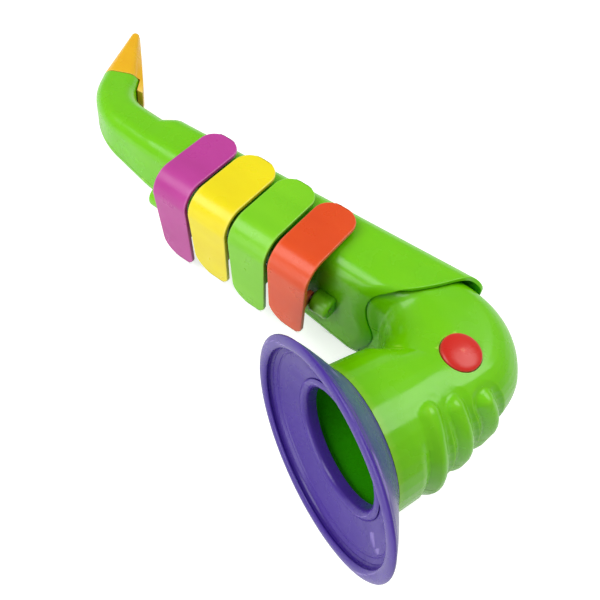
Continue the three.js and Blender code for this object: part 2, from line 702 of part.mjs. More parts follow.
// Bell
const seatDepth = throatDepth + throatFloor;
const throatRadius = tubeRadius - throatInset;
const ringMiddle = throatRadius + throatRing;
const rimMiddle = bellRadius - rimRadius;
const bellProfile = [
  [collarRadius, -collarDepth],
  ...backGrowthShares.map((share, i) => [mix(collarRadius, rimMiddle, share), -backDepths[i]]).reverse(),
  ...arc(rimMiddle, 0, rimRadius, -60, 210, 10).map(([r, h]) => [r, h * rimFlatShare]),
  ...coneGrowthShares.map((share, i) => [mix(ringMiddle, rimMiddle, share), -coneDepths[i]]).reverse(),
  ...arc(ringMiddle, -throatDepth - throatRing, throatRing, 60, 180, 4),
  [throatRadius, -seatDepth],
  [collarBore, -seatDepth],
  [collarBore, -collarDepth],
];

// Keys, pads and springs, in the near frame

function keyBody(index) {
  const { low, high } = keyPlaces[index];
  const width = high - low;
  const plateCorner = width * plateCornerShare;
  const tailNeckCorner = width * tailNeckCornerShare;
  const tailBowCorner = width * tailBowCornerShare;
  const tailTaper = width * tailTaperShare;
  const length = keyTailLengths[index];
  const lean = Math.hypot(1, tailSlope);
  const bendZ = keyRise - keyBend;
  const bendY = -keyFront + keyBend * lean - tailSlope * bendZ;
  const plateZ = keyRise - keyThickness;
  const profile = [
    [keyReach, keyRise],
    ...arc(bendY, bendZ, keyBend, 90, 180 + tailLean),
    [tailFace(-length), -length],
    [tailFace(-length) + keyThickness * lean, -length],
    ...arc(bendY, bendZ, keyBend - keyThickness, 180 + tailLean, 90),
    [keyReach, plateZ],
  ];
  const plate = [
    [low, -keyFront - overrun],
    [high, -keyFront - overrun],
    ...arc(high - plateCorner, keyReach - plateCorner, plateCorner, 0, 90),
    ...arc(low + plateCorner, keyReach - plateCorner, plateCorner, 90, 180),
  ];
  const tail = [
    [high, keyRise + overrun],
    [low, keyRise + overrun],
    ...arc(low + tailNeckCorner, -length + tailNeckCorner, tailNeckCorner, 180, 270),
    ...arc(high - tailTaper - tailBowCorner, -length + tailBowCorner, tailBowCorner, 270, 360),
    [high, -keyBend],
  ];
  const shell = extrude(profile, low, high, X)
    .intersect(extrude(plate, -length - overrun, keyRise + overrun, Z))
    .intersect(extrude(tail, -reach, reach, Y));
  const middleOfTail = (z) => tailFace(z) + keyThickness / 2;
  const web = [
    [middleOfTail(-rodDepth + webHalfRoot), -rodDepth + webHalfRoot],
    ...arc(-rodFront, -rodDepth, hubRadius, 90, -90, 2 * cornerSteps),
    [middleOfTail(-rodDepth - webHalfRoot), -rodDepth - webHalfRoot],
  ];
  const webInset = width * webInsetShare;
  const webThickness = width * webThicknessShare;
  const webStarts = [low + webInset, high - webInset - webThickness];
  const webs = webStarts.map((x) => extrude(web, x, x + webThickness, X));
  const bore = rod(rodLine(low), X, high - low, rodRadius + fitGap, smallSides);
  return shell.add(joined(webs)).subtract(bore);
}

function keySpring(index) {
  const start = keyPlaces[index].middle - (springTurns * springPitch) / 2;
  const points = [];
  const frontLeg = bodyFront - springWire - fitGap;
  points.push(V(start, frontLeg, -rodDepth - bodyLegDrop));
  points.push(V(start, mix(frontLeg, springRadius - rodFront, 0.5), -rodDepth - bodyLegDrop / 2));
  const steps = springTurns * stepsPerTurn;
  for (let i = 0; i <= steps; i++) {
    const angle = (2 * Math.PI * i) / stepsPerTurn;
    const y = -rodFront + springRadius * Math.cos(angle);
    const z = -rodDepth + springRadius * Math.sin(angle);
    points.push(V(start + (springPitch * i) / stepsPerTurn, y, z));
  }
  const drop = -rodDepth - tailLegDrop;
  const tailLeg = tailFace(drop) + keyThickness + springWire + 2 * fitGap;
  const end = start + springTurns * springPitch;
  points.push(V(end, mix(tailLeg, -rodFront - springRadius, 0.5), -rodDepth - tailLegDrop / 2));
  points.push(V(end, tailLeg, drop));
  return { points, body: wire(points, springWire, wireSides, X, false) };
}

// Least distance between two stretches of a spring's wire that are not neighbours.
function springGap({ points }) {
  let least = Infinity;
  const far = stepsPerTurn / 2;
  for (let i = 0; i < points.length - 1; i++) {
    const one = new THREE.Line3(points[i], points[i + 1]);
    for (let j = i + far; j < points.length; j++) {
      const near = one.closestPointToPoint(points[j], true, V(0, 0, 0));
      least = Math.min(least, near.distanceTo(points[j]) - 2 * springWire);
    }
  }
  return least;
}

// Gasket, reed plate, reeds and screws, in the near frame
const plateFrontY = toneHoleBack - reedPlateWidth / 2;
const plateBackY = toneHoleBack + reedPlateWidth / 2;
const gasketTop = -wall - fitGap;
const gasket = block(
  V(plateLow, plateFrontY, gasketTop - gasketThickness),
  V(plateHigh, plateBackY, gasketTop),
)
  .subtract(joined(toneHoles(-reach, reach)))
  .subtract(joined(plateScrewHoles(-reach, reach, plateBossRadius + fitGap)));
const stakeBack = plateBackY - reedRoot;
const slots = keyPlaces.map(({ middle }) =>
  block(
    V(middle - reedSlotWidth / 2, toneHoleBack - reedSlotLength / 2, -reach),
    V(middle + reedSlotWidth / 2, toneHoleBack + reedSlotLength / 2, reach),
  ),
);
const stakeBottom = plateBottom - fitGap - reedThickness - stakeHeight;
const stakes = keyPlaces.map(({ middle }) =>
  rod(V(middle, stakeBack, stakeBottom), Z, plateBottom + fitGap - stakeBottom, stakeRadius, smallSides),
);
const reedPlate = block(V(plateLow, plateFrontY, plateBottom), V(plateHigh, plateBackY, plateTop))
  .subtract(joined(slots))
  .subtract(joined(plateScrewHoles(-reach, reach, screwRadius + fitGap)))
  .add(joined(stakes));
const reeds = keyPlaces.map(({ middle }) =>
  block(
    V(middle - reedWidth / 2, plateBackY - reedLength, plateBottom - fitGap - reedThickness),
    V(middle + reedWidth / 2, plateBackY, plateBottom - fitGap),
  ).subtract(rod(V(middle, stakeBack, -reach), Z, reach, stakeRadius + fitGap, smallSides)),
);

// A screw with a flat round head. Its tip points along the axis, and the place is under the head.
function screw(place, axis, length) {
  const top = place.clone().addScaledVector(axis, -headHeight);
  const head = rod(top, axis, headHeight, headRadius, smallSides);
  return head.add(rod(place, axis, length, screwRadius, smallSides));
}

// Nodes

const instrument = new THREE.Group();

function piece(name, body, color) {
  const material = new THREE.MeshStandardMaterial({ color });
  const mesh = new THREE.Mesh(geometryOf(body), material);
  mesh.name = name;
  instrument.add(mesh);
}

piece("body_shell", bodyShell, green);
piece("rear_cover", rearCover, green);
piece("mouthpiece", mouthpiece, amber);
piece("bow_near_shell", bowBored.intersect(nearHalf), green);
piece("bow_far_shell", bowBored.intersect(farHalf), green);
piece("bell", turned(bellProfile, bellPlace, bellOut, bellSides), violet);
piece("red_button", turned(buttonProfile, V(0, 0, 0), Z, roundSides).add(buttonStem), buttonRed);
const bowScrewSeat = V(0, 0, bowScrewTop - headHeight);
piece("bow_screw", screw(bowScrewSeat, V(0, 0, -1), bowScrewSeat.z - bowScrewEnd), steel);

const rodEnd = hingeLow + wall + fitGap;
piece("hinge_rod", onNear(rod(rodLine(rodEnd), X, hingeHigh - rodEnd, rodRadius, smallSides)), steel);

const keyNames = ["purple", "yellow", "green", "red"];
const keyColours = [purple, yellow, lime, red];
for (const [i, name] of keyNames.entries()) {
  const padPlace = V(keyPlaces[i].middle, toneHoleBack, fitGap);
  const padThickness = keyRise - keyThickness - 2 * fitGap;
  const spring = keySpring(i);
  piece(`${name}_key`, onNear(keyBody(i)), keyColours[i]);
  const padRadius = keyWidths[i] * padRadiusShare;
  piece(`${name}_key_pad`, onNear(rod(padPlace, Z, padThickness, padRadius)), black);
  piece(`${name}_key_spring`, onNear(spring.body), steel);
  piece(`${name}_reed`, onNear(reeds[i]), brass);
  if (i === 0) console.log(`least gap between turns of a spring: ${springGap(spring).toFixed(2)} mm`);
}

piece("reed_gasket", onNear(gasket), black);
piece("reed_plate", onNear(reedPlate), black);
for (const [i, x] of plateScrews.entries()) {
  const place = V(x, toneHoleBack, plateBottom - fitGap);
  piece(`reed_plate_screw_${i + 1}`, onNear(screw(place, Z, plateScrewLength)), steel);
}
for (const [i, x] of coverScrewPlaces.entries()) {
  const place = V(x, coverScrewBacks[i], headRecess - fitGap);
  piece(`cover_screw_${i + 1}`, onFar(screw(place, Z, coverScrewLength)), steel);
}

// Rest attitude: the facet of the hull under the centre of mass is laid on the ground

const corners = [];
const massCentre = V(0, 0, 0);
let volume = 0;
for (const mesh of instrument.children) {
  const place = mesh.geometry.getAttribute("position");
  for (let i = 0; i < place.count; i += 3) {
    const [a, b, c] = [i, i + 1, i + 2].map((k) => new THREE.Vector3().fromBufferAttribute(place, k));
    const part = a.dot(b.clone().cross(c)) / 6;
    volume += part;
    massCentre.addScaledVector(a.clone().add(b).add(c), part / 4);
    corners.push(a, b, c);
  }
}
massCentre.divideScalar(volume);

const downwardShare = -0.8; // a facet counts as an underside when its normal's Z is under this
let under = null;
for (const face of new ConvexHull().setFromPoints(corners).faces) {
  if (face.normal.z > downwardShare) continue;
  const height = face.constant - face.normal.dot(massCentre);
  if (!under || height < under.height) under = { height, normal: face.normal };
}
instrument.quaternion.setFromUnitVectors(under.normal.clone().normalize(), V(0, 0, -1));
instrument.updateMatrixWorld(true);
const box = new THREE.Box3().setFromObject(instrument, true);
const centre = box.getCenter(V(0, 0, 0));
instrument.position.set(-centre.x, -centre.y, -box.min.z);

const toySaxophone = new THREE.Group();
toySaxophone.name = "toy_saxophone";
toySaxophone.add(instrument);
export default toySaxophone;
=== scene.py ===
"""Toy saxophone in gloss moulded plastic, dressed for the camera.

The instrument is drawn in millimetres in its own frame: +X runs down the body from the neck to the bow,
+Y from the front, where the bell and the key hinge are, to the back, and +Z to the near side, where the
keys lie. One matrix lays it on the table in metres.
"""

import math

import bmesh
import bpy
import numpy as np
from mathutils import Matrix, Vector
from mathutils.bvhtree import BVHTree


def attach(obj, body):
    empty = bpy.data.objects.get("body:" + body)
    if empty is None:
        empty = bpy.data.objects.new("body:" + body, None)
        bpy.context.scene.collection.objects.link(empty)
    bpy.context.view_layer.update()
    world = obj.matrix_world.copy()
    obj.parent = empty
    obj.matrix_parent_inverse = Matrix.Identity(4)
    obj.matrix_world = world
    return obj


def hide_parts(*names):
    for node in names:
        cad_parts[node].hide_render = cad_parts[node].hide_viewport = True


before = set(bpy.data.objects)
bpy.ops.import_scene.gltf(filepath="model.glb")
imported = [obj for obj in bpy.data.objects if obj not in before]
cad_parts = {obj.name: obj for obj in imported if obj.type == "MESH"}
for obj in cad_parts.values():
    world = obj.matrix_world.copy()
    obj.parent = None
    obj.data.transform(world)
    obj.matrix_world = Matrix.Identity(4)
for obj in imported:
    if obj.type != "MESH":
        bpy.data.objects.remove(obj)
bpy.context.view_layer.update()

# Body shell
# The green body and neck: one gloss ABS moulding, 2.2 mm thick and open on its far side, where the rear
# cover is screwed on. Four tone holes lie under the keys, and two bosses on the front hold the hinge rod.

LAID_DOWN = Matrix((
    (0.9976737, 0.0078519, -0.0677171, 0.1150933),
    (0.0078519, 0.9734980, 0.2285606, 0.0104822),
    (0.0677171, -0.2285606, 0.9711717, 0.0428055),
    (0.0, 0.0, 0.0, 1.0),
))
FIT_GAP = 0.3
WALL = 2.2
MOULD_EDGE = 0.5
WELD = 2e-6
CORNER_POINTS = 11
BODY_FRONT = 2.0
BODY_LENGTH = 197.0
SHOULDER = dict(depth=28.9, half=18.2, corner=8.0)
BOW_END = dict(depth=42.4, half=36.7, corner=11.0)
SHOULDER_RUN = 9.0
SHOULDER_STEPS = 12
# the lip over the bow: its line across the flat faces, how it drops down the front wall, its nose at the back,
# and how far its edge turns in
LIP_FRONT = 47.4
LIP_BACK = 13.0
LIP_SWELL = 4.2
LIP_SHARES = (0, 0.56, 0.88, 1, 1, 0.94, 0.8, 0.64, 0.45, 0.22, 0)
LIP_DROPS = (0, -0.3, -0.8, -1.4, -1.9, -1.9, -1.2, 0.1, 2.2, 5.0, 7.2, 7.8, 7.4, 6.2, 4.6, 3.2, 2.6, 2.4)
LIP_TOP = 34.0
LIP_DROP_STEP = 4.0
LIP_DROP_REACH = 7.0
LIP_NOSE = 4.5
LIP_NOSE_RUN = 6.0
LIP_NOSE_SHARE = 0.16
LIP_TURN = 2.45
LIP_TURN_RUN = 6.5
LIP_TURN_CORNER = 2.0
LIP_TURN_REACH = 5.0
LIP_BLEND_START = -180.0
LIP_PASSES = 8
# the neck: straight out of the shoulder, round its bend, and straight again to the mouthpiece
PARTING_DEPTH = 9.0
NECK_MIDDLE = 16.0
NECK_STRAIGHT = 15.0
NECK_RADIUS = 30.0
NECK_TURN = 58.0
NECK_END_STRAIGHT = 8.6
NECK_STEPS = 24
NECK_ROOT = dict(depth=23.6, half=17.6, corner=8.0)
NECK_ROOT_SHIFT = -1.9
NECK_END = dict(depth=20.4, half=11.0, corner=6.0)
FACE_SLOPE = (BOW_END["half"] - SHOULDER["half"]) / BODY_LENGTH
FACE_TILT = math.atan(FACE_SLOPE)
NEAR_FACE = Matrix.Translation((0, 0, BOW_END["half"])) @ Matrix.Rotation(-FACE_TILT, 4, "Y")
FAR_FACE = Matrix.Translation((0, 0, -BOW_END["half"])) @ Matrix.Rotation(FACE_TILT, 4, "Y")
IDENTITY = Matrix.Identity(4)


def mix(a, b, share):
    """What lies a share of the way from one value to another."""
    return a + (b - a) * share


def heading(degrees):
    """A unit step at an angle in the plane of the body's length and depth."""
    return Vector((math.cos(math.radians(degrees)), math.sin(math.radians(degrees)), 0))


def arc(u, v, radius, start, end, steps=CORNER_POINTS - 1):
    """Points of an arc with both its ends."""
    turns = [math.radians(mix(start, end, i / steps)) for i in range(steps + 1)]
    return [(u + radius * math.cos(t), v + radius * math.sin(t)) for t in turns]


def section(place, turn, half_depth, half_thickness, corner, inset=0.0):
    """A rounded rectangle square to a heading, as a ring of points."""
    across = heading(turn + 90)
    half_depth -= inset
    half_thickness -= inset
    radius = min(max(corner - inset, 0.3), half_depth, half_thickness)
    ring = []
    for quarter, (u, v) in enumerate(((1, 1), (-1, 1), (-1, -1), (1, -1))):
        middle = (u * (half_depth - radius), v * (half_thickness - radius))
        for a, b in arc(*middle, radius, 90 * quarter, 90 * (quarter + 1)):
            ring.append(place + across * a + Vector((0, 0, b)))
    return ring


def filled(ring, between=14):
    """The same ring with points on its four flat sides too."""
    made = []
    for i, here in enumerate(ring):
        made.append(here)
        if i % CORNER_POINTS == CORNER_POINTS - 1:
            made += [here.lerp(ring[(i + 1) % len(ring)], k / (between + 1)) for k in range(1, between + 1)]
    return made


def flowing(values, place):
    """A smooth curve through evenly spaced values."""
    i = min(int(place), len(values) - 2)
    t = place - i
    a, b, c, d = (values[min(max(i + k, 0), len(values) - 1)] for k in (-1, 0, 1, 2))
    return b + t * (c - a) / 2 + t * t * (a - 2.5 * b + 2 * c - d / 2) + t ** 3 * (1.5 * (b - c) + (d - a) / 2)


def lip_x(y, z):
    """Where the body's lip lies: a swoosh across the flat faces that dips and sweeps on down the front wall."""
    share = min(max((y - BODY_FRONT) / BOW_END["depth"], 0), 1)
    fall = min(max((LIP_TOP - z) / LIP_DROP_STEP, 0), len(LIP_DROPS) - 1)
    front = flowing(LIP_DROPS, fall) * math.exp(-((y - BODY_FRONT) / LIP_DROP_REACH) ** 2)
    below = 1 - math.exp(-(max(LIP_TOP - z, 0) / LIP_NOSE_RUN) ** 2)
    back = LIP_NOSE * below * math.exp(-((share - 1) / LIP_NOSE_SHARE) ** 2)
    swell = LIP_SWELL * flowing(LIP_SHARES, share * (len(LIP_SHARES) - 1))
    return mix(-LIP_FRONT, -LIP_BACK, share) + swell + front + back


def turned_in(ring):
    """The front wall and its corners drawn in towards the bow over the last few millimetres before the lip."""
    middle = sum(ring, Vector()) / len(ring)
    made = []
    for point in ring:
        left = lip_x(point.y, point.z) - point.x
        near = 1 - min(max(left / LIP_TURN_RUN, 0), 1)
        front = math.exp(-(max(point.y - BODY_FRONT - LIP_TURN_CORNER, 0) / LIP_TURN_REACH) ** 2)
        made.append(point + (middle - point).normalized() * LIP_TURN * near * near * front)
    return made


def sizes_between(one, other, share):
    """Depth, half thickness and corner of a section part of the way from one to another."""
    return [mix(one[key], other[key], share) for key in ("depth", "half", "corner")]


def body_sizes(x):
    """The tapered body's own section sizes at x."""
    return sizes_between(SHOULDER, BOW_END, (x + BODY_LENGTH) / BODY_LENGTH)


def body_section(x, inset=0.0):
    """The body's section at x, with its front on one straight line."""
    depth, half, corner = body_sizes(x)
    place = Vector((x, BODY_FRONT + depth / 2, 0))
    return section(place, 0, depth / 2, half, corner, inset)


def neck_sections():
    """Sections from the mouthpiece's end of the neck back to the shoulder, and the neck's end."""
    length = NECK_STRAIGHT + math.radians(NECK_TURN) * NECK_RADIUS + NECK_END_STRAIGHT
    centre = Vector((-BODY_LENGTH - NECK_STRAIGHT, NECK_MIDDLE + NECK_RADIUS, 0))
    walk = [(Vector((-BODY_LENGTH, NECK_MIDDLE, 0)), 0.0, 0.0)]
    for i in range(NECK_STEPS + 1):
        turn = NECK_TURN * i / NECK_STEPS
        run = NECK_STRAIGHT + math.radians(turn) * NECK_RADIUS
        walk.append((centre + heading(-90 - turn) * NECK_RADIUS, turn, run))
    end = walk[-1][0] + heading(180 - NECK_TURN) * NECK_END_STRAIGHT
    walk.append((end, NECK_TURN, length))
    rings = []
    for place, turn, run in walk:
        depth, half, corner = sizes_between(NECK_ROOT, NECK_END, run / length)
        shift = NECK_ROOT_SHIFT * (1 - run / length) ** 2
        rings.append(section(place + heading(90 - turn) * shift, -turn, depth / 2, half, corner))
    return rings[::-1], end


def shoulder_sections():
    """Sections that swell from the neck's root to the body's own shape."""
    rings = []
    for i in range(1, SHOULDER_STEPS + 1):
        share = i / SHOULDER_STEPS
        rise = math.sin(math.pi / 2 * share)
        x = -BODY_LENGTH + SHOULDER_RUN * share
        depth, half, corner = body_sizes(x)
        place = Vector((x, mix(NECK_MIDDLE + NECK_ROOT_SHIFT, BODY_FRONT + depth / 2, rise), 0))
        own = (mix(NECK_ROOT["depth"], depth, rise) / 2, mix(NECK_ROOT["half"], half, rise))
        rings.append(section(place, 0, *own, mix(NECK_ROOT["corner"], corner, rise)))
    return rings


def loft(rings, closed=False):
    """Points and faces of a skin through rings with as many points each, with both ends shut if asked."""
    count = len(rings[0])
    points = [point for ring in rings for point in ring]
    faces = []
    for r in range(len(rings) - 1):
        for i in range(count):
            a, b = r * count + i, r * count + (i + 1) % count
            faces.append((a, b, b + count, a + count))
    if closed:
        faces.append(tuple(range(count))[::-1])
        faces.append(tuple(len(points) - count + i for i in range(count)))
    return points, faces


def prism(outline, low, high, along):
    """An outline extruded along X or Z, as points and faces. Along X it holds [y, z] points."""
    place = (lambda u, v, w: Vector((w, u, v))) if along == "X" else (lambda u, v, w: Vector((u, v, w)))
    return loft([[place(u, v, w) for u, v in outline] for w in (low, high)], closed=True)


def linked(name, data):
    """An object in the scene for a mesh, lamp or camera."""
    made = bpy.data.objects.new(name, data)
    bpy.context.scene.collection.objects.link(made)
    return made


def new_piece(name, *forms, local=IDENTITY, faces_out=True):
    """One object from forms in millimetres, laid on the table in metres."""
    whole = LAID_DOWN @ Matrix.Scale(0.001, 4) @ local
    points, faces = [], []
    for own_points, own_faces in forms:
        faces += [tuple(i + len(points) for i in face) for face in own_faces]
        points += [whole @ point for point in own_points]
    mesh = bpy.data.meshes.new(name)
    mesh.from_pydata(points, [], faces)
    shaped = bmesh.new()
    shaped.from_mesh(mesh)
    bmesh.ops.remove_doubles(shaped, verts=shaped.verts, dist=WELD)
    if faces_out:
        bmesh.ops.recalc_face_normals(shaped, faces=shaped.faces)
    shaped.to_mesh(mesh)
    shaped.free()
    return linked(name, mesh)


def cut_off(piece, place, normal):
    """Takes off what lies on the normal's side of a plane in the instrument's frame."""
    turned = LAID_DOWN.to_3x3() @ Vector(normal)
    spot = LAID_DOWN @ (Vector(place) * 0.001)
    shaped = bmesh.new()
    shaped.from_mesh(piece.data)
    everything = shaped.verts[:] + shaped.edges[:] + shaped.faces[:]
    bmesh.ops.bisect_plane(shaped, geom=everything, plane_co=spot, plane_no=turned, clear_outer=True)
    shaped.to_mesh(piece.data)
    shaped.free()


def settle(piece):
    """Makes what the modifiers give the piece's own mesh."""
    seen = piece.evaluated_get(bpy.context.evaluated_depsgraph_get())
    mesh = bpy.data.meshes.new_from_object(seen)
    piece.modifiers.clear()
    piece.data = mesh
    return piece


def modified(piece, kind, **settings):
    """A modifier with its settings, run and kept."""
    modifier = piece.modifiers.new(kind.lower(), kind)
    for key, value in settings.items():
        setattr(modifier, key, value)
    return settle(piece)


def walled(piece, thickness=WALL):
    """A skin given its wall on the inner side."""
    return modified(piece, "SOLIDIFY", thickness=thickness / 1000, offset=-1, use_even_offset=True)


def eased(piece, radius, segments=3, angle=40):
    """Rounds the sharp edges, as a mould leaves them."""
    return modified(
        piece, "BEVEL", width=radius / 1000, segments=segments, limit_method="ANGLE",
        angle_limit=math.radians(angle), use_clamp_overlap=False, harden_normals=False,
    )


def carved(piece, cutter):
    """A piece with the cutter's form taken out of it."""
    modified(piece, "BOOLEAN", object=cutter, operation="DIFFERENCE", solver="EXACT")
    bpy.data.objects.remove(cutter)
    return piece


def smoothed(piece, angle=34):
    """Smooth shading that keeps flat faces flat."""
    for polygon in piece.data.polygons:
        polygon.use_smooth = True
    piece.data.set_sharp_from_angle(angle=math.radians(angle))
    return modified(piece, "WEIGHTED_NORMAL", keep_sharp=True, weight=60)


def merged(name, pieces):
    """Several objects as one."""
    whole = bmesh.new()
    for piece in pieces:
        whole.from_mesh(piece.data)
    mesh = bpy.data.meshes.new(name)
    whole.to_mesh(mesh)
    whole.free()
    for piece in pieces:
        bpy.data.objects.remove(piece)
    return linked(name, mesh)


def linear(colour):
    """An sRGB hex colour as linear values."""
    shares = [int(colour[i:i + 2], 16) / 255 for i in (1, 3, 5)]
    return [c / 12.92 if c <= 0.04045 else ((c + 0.055) / 1.055) ** 2.4 for c in shares] + [1]


def add(tree, kind, inputs=None, **settings):
    """A node with its settings, and its inputs set to values or linked to sockets or nodes' first outputs."""
    made = tree.nodes.new(kind)
    for key, value in settings.items():
        setattr(made, key, value)
    for key, value in (inputs or {}).items():
        if isinstance(value, bpy.types.Node):
            value = value.outputs[0]
        if isinstance(value, bpy.types.NodeSocket):
            tree.links.new(value, made.inputs[key])
        else:
            made.inputs[key].default_value = value
    return made


def blank_material(name):
    """A new material with its tree, its shader's inputs, and the place on the piece in metres."""
    material = bpy.data.materials.new(name)
    material.use_nodes = True
    tree = material.node_tree
    place = add(tree, "ShaderNodeTexCoord").outputs["Object"]
    return material, tree, tree.nodes["Principled BSDF"].inputs, place


def gloss_abs(name, colour, deep, pale, shade, roughness=0.24, through=0.0):
    """Gloss moulded ABS: even colour through the wall, a polished skin that wavers a little where the wall sank as
    it cooled, and faint flow marks. Sharp edges get a painted highlight in a paler colour. Hollows and the bow's
    inner wall get painted shade, a deeper and darker colour."""
    material, tree, surface, place = blank_material(name)
    # flow marks: about 18 mm apart, drawn out along the mould's fill
    stretched = add(tree, "ShaderNodeMapping", {"Vector": place, "Scale": (22, 60, 60)})
    flow = add(tree, "ShaderNodeTexNoise", {"Vector": stretched, "Scale": 1.0, "Detail": 3.0})
    share = add(tree, "ShaderNodeMapRange", {"Value": flow, "From Min": 0.3, "From Max": 0.7})
    base = add(tree, "ShaderNodeMix", {0: share, 6: linear(colour), 7: linear(deep)}, data_type="RGBA")
    # painted highlight: edges are painted paler where the surface bulges sharply
    edge = add(tree, "ShaderNodeNewGeometry").outputs["Pointiness"]
    painted_edge_highlight = add(tree, "ShaderNodeMapRange", {"Value": edge, "From Min": 0.51, "From Max": 0.58, "To Max": 0.7})
    tint = add(tree, "ShaderNodeMix", {0: painted_edge_highlight, 6: base.outputs[2], 7: linear(pale)}, data_type="RGBA")
    # painted shade: the colour goes deeper and darker in hollows, by how shut in the place is within 25 mm, and on
    # the bow's inner wall
    open_sky = add(tree, "ShaderNodeAmbientOcclusion", {"Distance": 0.025}, samples=6)
    shut = add(tree, "ShaderNodeMapRange", {
        "Value": open_sky.outputs["AO"], "From Min": 0.1, "From Max": 0.6, "To Min": 1.0, "To Max": 0.0,
    })
    inside = add(tree, "ShaderNodeAttribute", attribute_name="inner_wall")
    inner = add(tree, "ShaderNodeMath", {0: inside.outputs["Fac"], 1: 0.9}, operation="MULTIPLY")
    painted_shade_share = add(tree, "ShaderNodeMath", {0: shut, 1: inner}, operation="MAXIMUM")
    tinted = add(tree, "ShaderNodeMix", {0: painted_shade_share, 6: tint.outputs[2], 7: linear(shade)}, data_type="RGBA")
    tree.links.new(tinted.outputs[2], surface["Base Color"])
    # handling: the polish is duller in patches of about 12 mm
    patches = add(tree, "ShaderNodeTexNoise", {"Vector": place, "Scale": 80.0, "Detail": 4.0})
    dull = add(tree, "ShaderNodeMapRange", {
        "Value": patches, "From Min": 0.35, "From Max": 0.75,
        "To Min": roughness - 0.04, "To Max": roughness + 0.09,
    })
    tree.links.new(dull.outputs[0], surface["Roughness"])
    # sink waves of about 14 mm, and a 0.6 mm orange peel, drawn a little coarser than real to show
    waves = add(tree, "ShaderNodeTexNoise", {"Vector": place, "Scale": 70.0, "Detail": 1.0})
    peel = add(tree, "ShaderNodeTexNoise", {"Vector": place, "Scale": 1600.0, "Detail": 2.0})
    broad = add(tree, "ShaderNodeBump", {"Height": waves, "Strength": 0.16, "Distance": 0.0008})
    fine = add(tree, "ShaderNodeBump", {
        "Height": peel, "Strength": 0.12, "Distance": 0.00004, "Normal": broad,
    })
    tree.links.new(fine.outputs[0], surface["Normal"])
    surface["IOR"].default_value = 1.53
    surface["Specular IOR Level"].default_value = 0.38
    surface["Subsurface Weight"].default_value = through
    surface["Subsurface Radius"].default_value = (0.4, 1.0, 0.2)
    surface["Subsurface Scale"].default_value = 0.004
    return material


def dress(piece, material, body="instrument", nodes=()):
    """The material, the body that carries the piece, and the nodes it stands for."""
    piece.data.materials.clear()
    piece.data.materials.append(material)
    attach(piece, body)
    if nodes:
        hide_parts(*nodes)


KEY_WIDTHS = (21.1, 23.4, 22.2, 22.3)
KEY_SPACE = 2.0
KEY_ROW_END = 72.8
KEY_PLACES = []
for i, width in enumerate(KEY_WIDTHS):
    high = -KEY_ROW_END - sum(each + KEY_SPACE for each in KEY_WIDTHS[i + 1:])
    KEY_PLACES.append((high - width, high - width / 2, high))
ROD_FRONT = 3.0
ROD_DEPTH = 28.0
ROD_RADIUS = 1.25
BOSS_FRONT = 0.7
BOSS_DEPTH = 30.0
BOSS_RADIUS = 6.2
BOSS_LENGTH = 11.0
BOSS_EDGE = 1.8
HINGE_LOW = KEY_PLACES[0][0] - 4.6 - BOSS_LENGTH
HINGE_HIGH = -KEY_ROW_END - 3.2 + BOSS_LENGTH
HOLE_RADIUS = 4.6
HOLE_BACK = 16.5
HOLE_SPAN = (-8, 4)
LIP_SLOPE = (LIP_FRONT - LIP_BACK) / BOW_END["depth"]
PARTING = (FACE_SLOPE, 0, 1)

neck_rings, NECK_END_PLACE = neck_sections()
# each pass slides the lip's points along the body to where the swoosh has them
lip = filled(body_section(-LIP_FRONT))
for _ in range(LIP_PASSES):
    lip = [filled(body_section(lip_x(p.y, p.z)))[i] for i, p in enumerate(lip)]
start = filled(body_section(LIP_BLEND_START))
runs = [*np.linspace(0, 0.94, 26), *np.linspace(0.945, 1, 10)]
body_rings = [turned_in([a.lerp(b, run) for a, b in zip(start, lip)]) for run in runs]
hull = [filled(ring) for ring in neck_rings + shoulder_sections()] + body_rings

# the last two colours given to gloss_abs, here and below: a paler painted edge highlight and a darker painted shade
green_abs = gloss_abs("gloss_green_abs", "#72C800", "#6BC200", "#A8E048", "#1E9A02", through=0.08)


def half_body(name, shift, side):
    """The hollow body on one side of the parting plane, with its moulded edges."""
    half = new_piece(name, loft(hull), faces_out=False)
    height = -BOW_END["half"] + PARTING_DEPTH + shift
    cut_off(half, (0, 0, height), tuple(side * part for part in PARTING))
    walled(half)
    return eased(half, MOULD_EDGE, 4, angle=55)


def upright(x, y, low, high, radius, sides=48):
    """A round bar along a face's normal."""
    ring = arc(x, y, radius, 0, 360 * (sides - 1) / sides, sides - 1)
    return prism(ring, low, high, "Z")


def rod_bore(low, high, sides=24):
    """A bar a little wider than the hinge rod, which cuts the rod's way through a piece."""
    ring = arc(-ROD_FRONT, -ROD_DEPTH, ROD_RADIUS + FIT_GAP, 0, 360 * (sides - 1) / sides, sides - 1)
    return new_piece("rod_bore", prism(ring, low, high, "X"), local=NEAR_FACE)


body = half_body("body_shell_moulding", FIT_GAP / 2, -1)
holes = [upright(middle, HOLE_BACK, *HOLE_SPAN, HOLE_RADIUS) for _, middle, _ in KEY_PLACES]
carved(body, new_piece("tone_holes", *holes, local=NEAR_FACE))
bosses = []
for x in (HINGE_LOW, HINGE_HIGH - BOSS_LENGTH):
    nose = arc(-BOSS_FRONT, -BOSS_DEPTH, BOSS_RADIUS, 90, 270, 24)
    root = [(BODY_FRONT + WALL / 2, -BOSS_DEPTH + side * BOSS_RADIUS) for side in (-1, 1)]
    boss = new_piece("boss", prism(nose + root, x, x + BOSS_LENGTH, "X"), local=NEAR_FACE)
    eased(boss, BOSS_EDGE, 6, angle=50)
    bosses.append(carved(boss, rod_bore(HINGE_LOW + WALL, 0)))
body = smoothed(merged("body_shell_moulding", [body, *bosses]))
dress(body, green_abs, nodes=["body_shell"])

# Rear cover
# The far panel of the body and neck, moulded in the same green ABS. Its edge meets the body shell in a fine
# seam, and five screws are sunk in it.

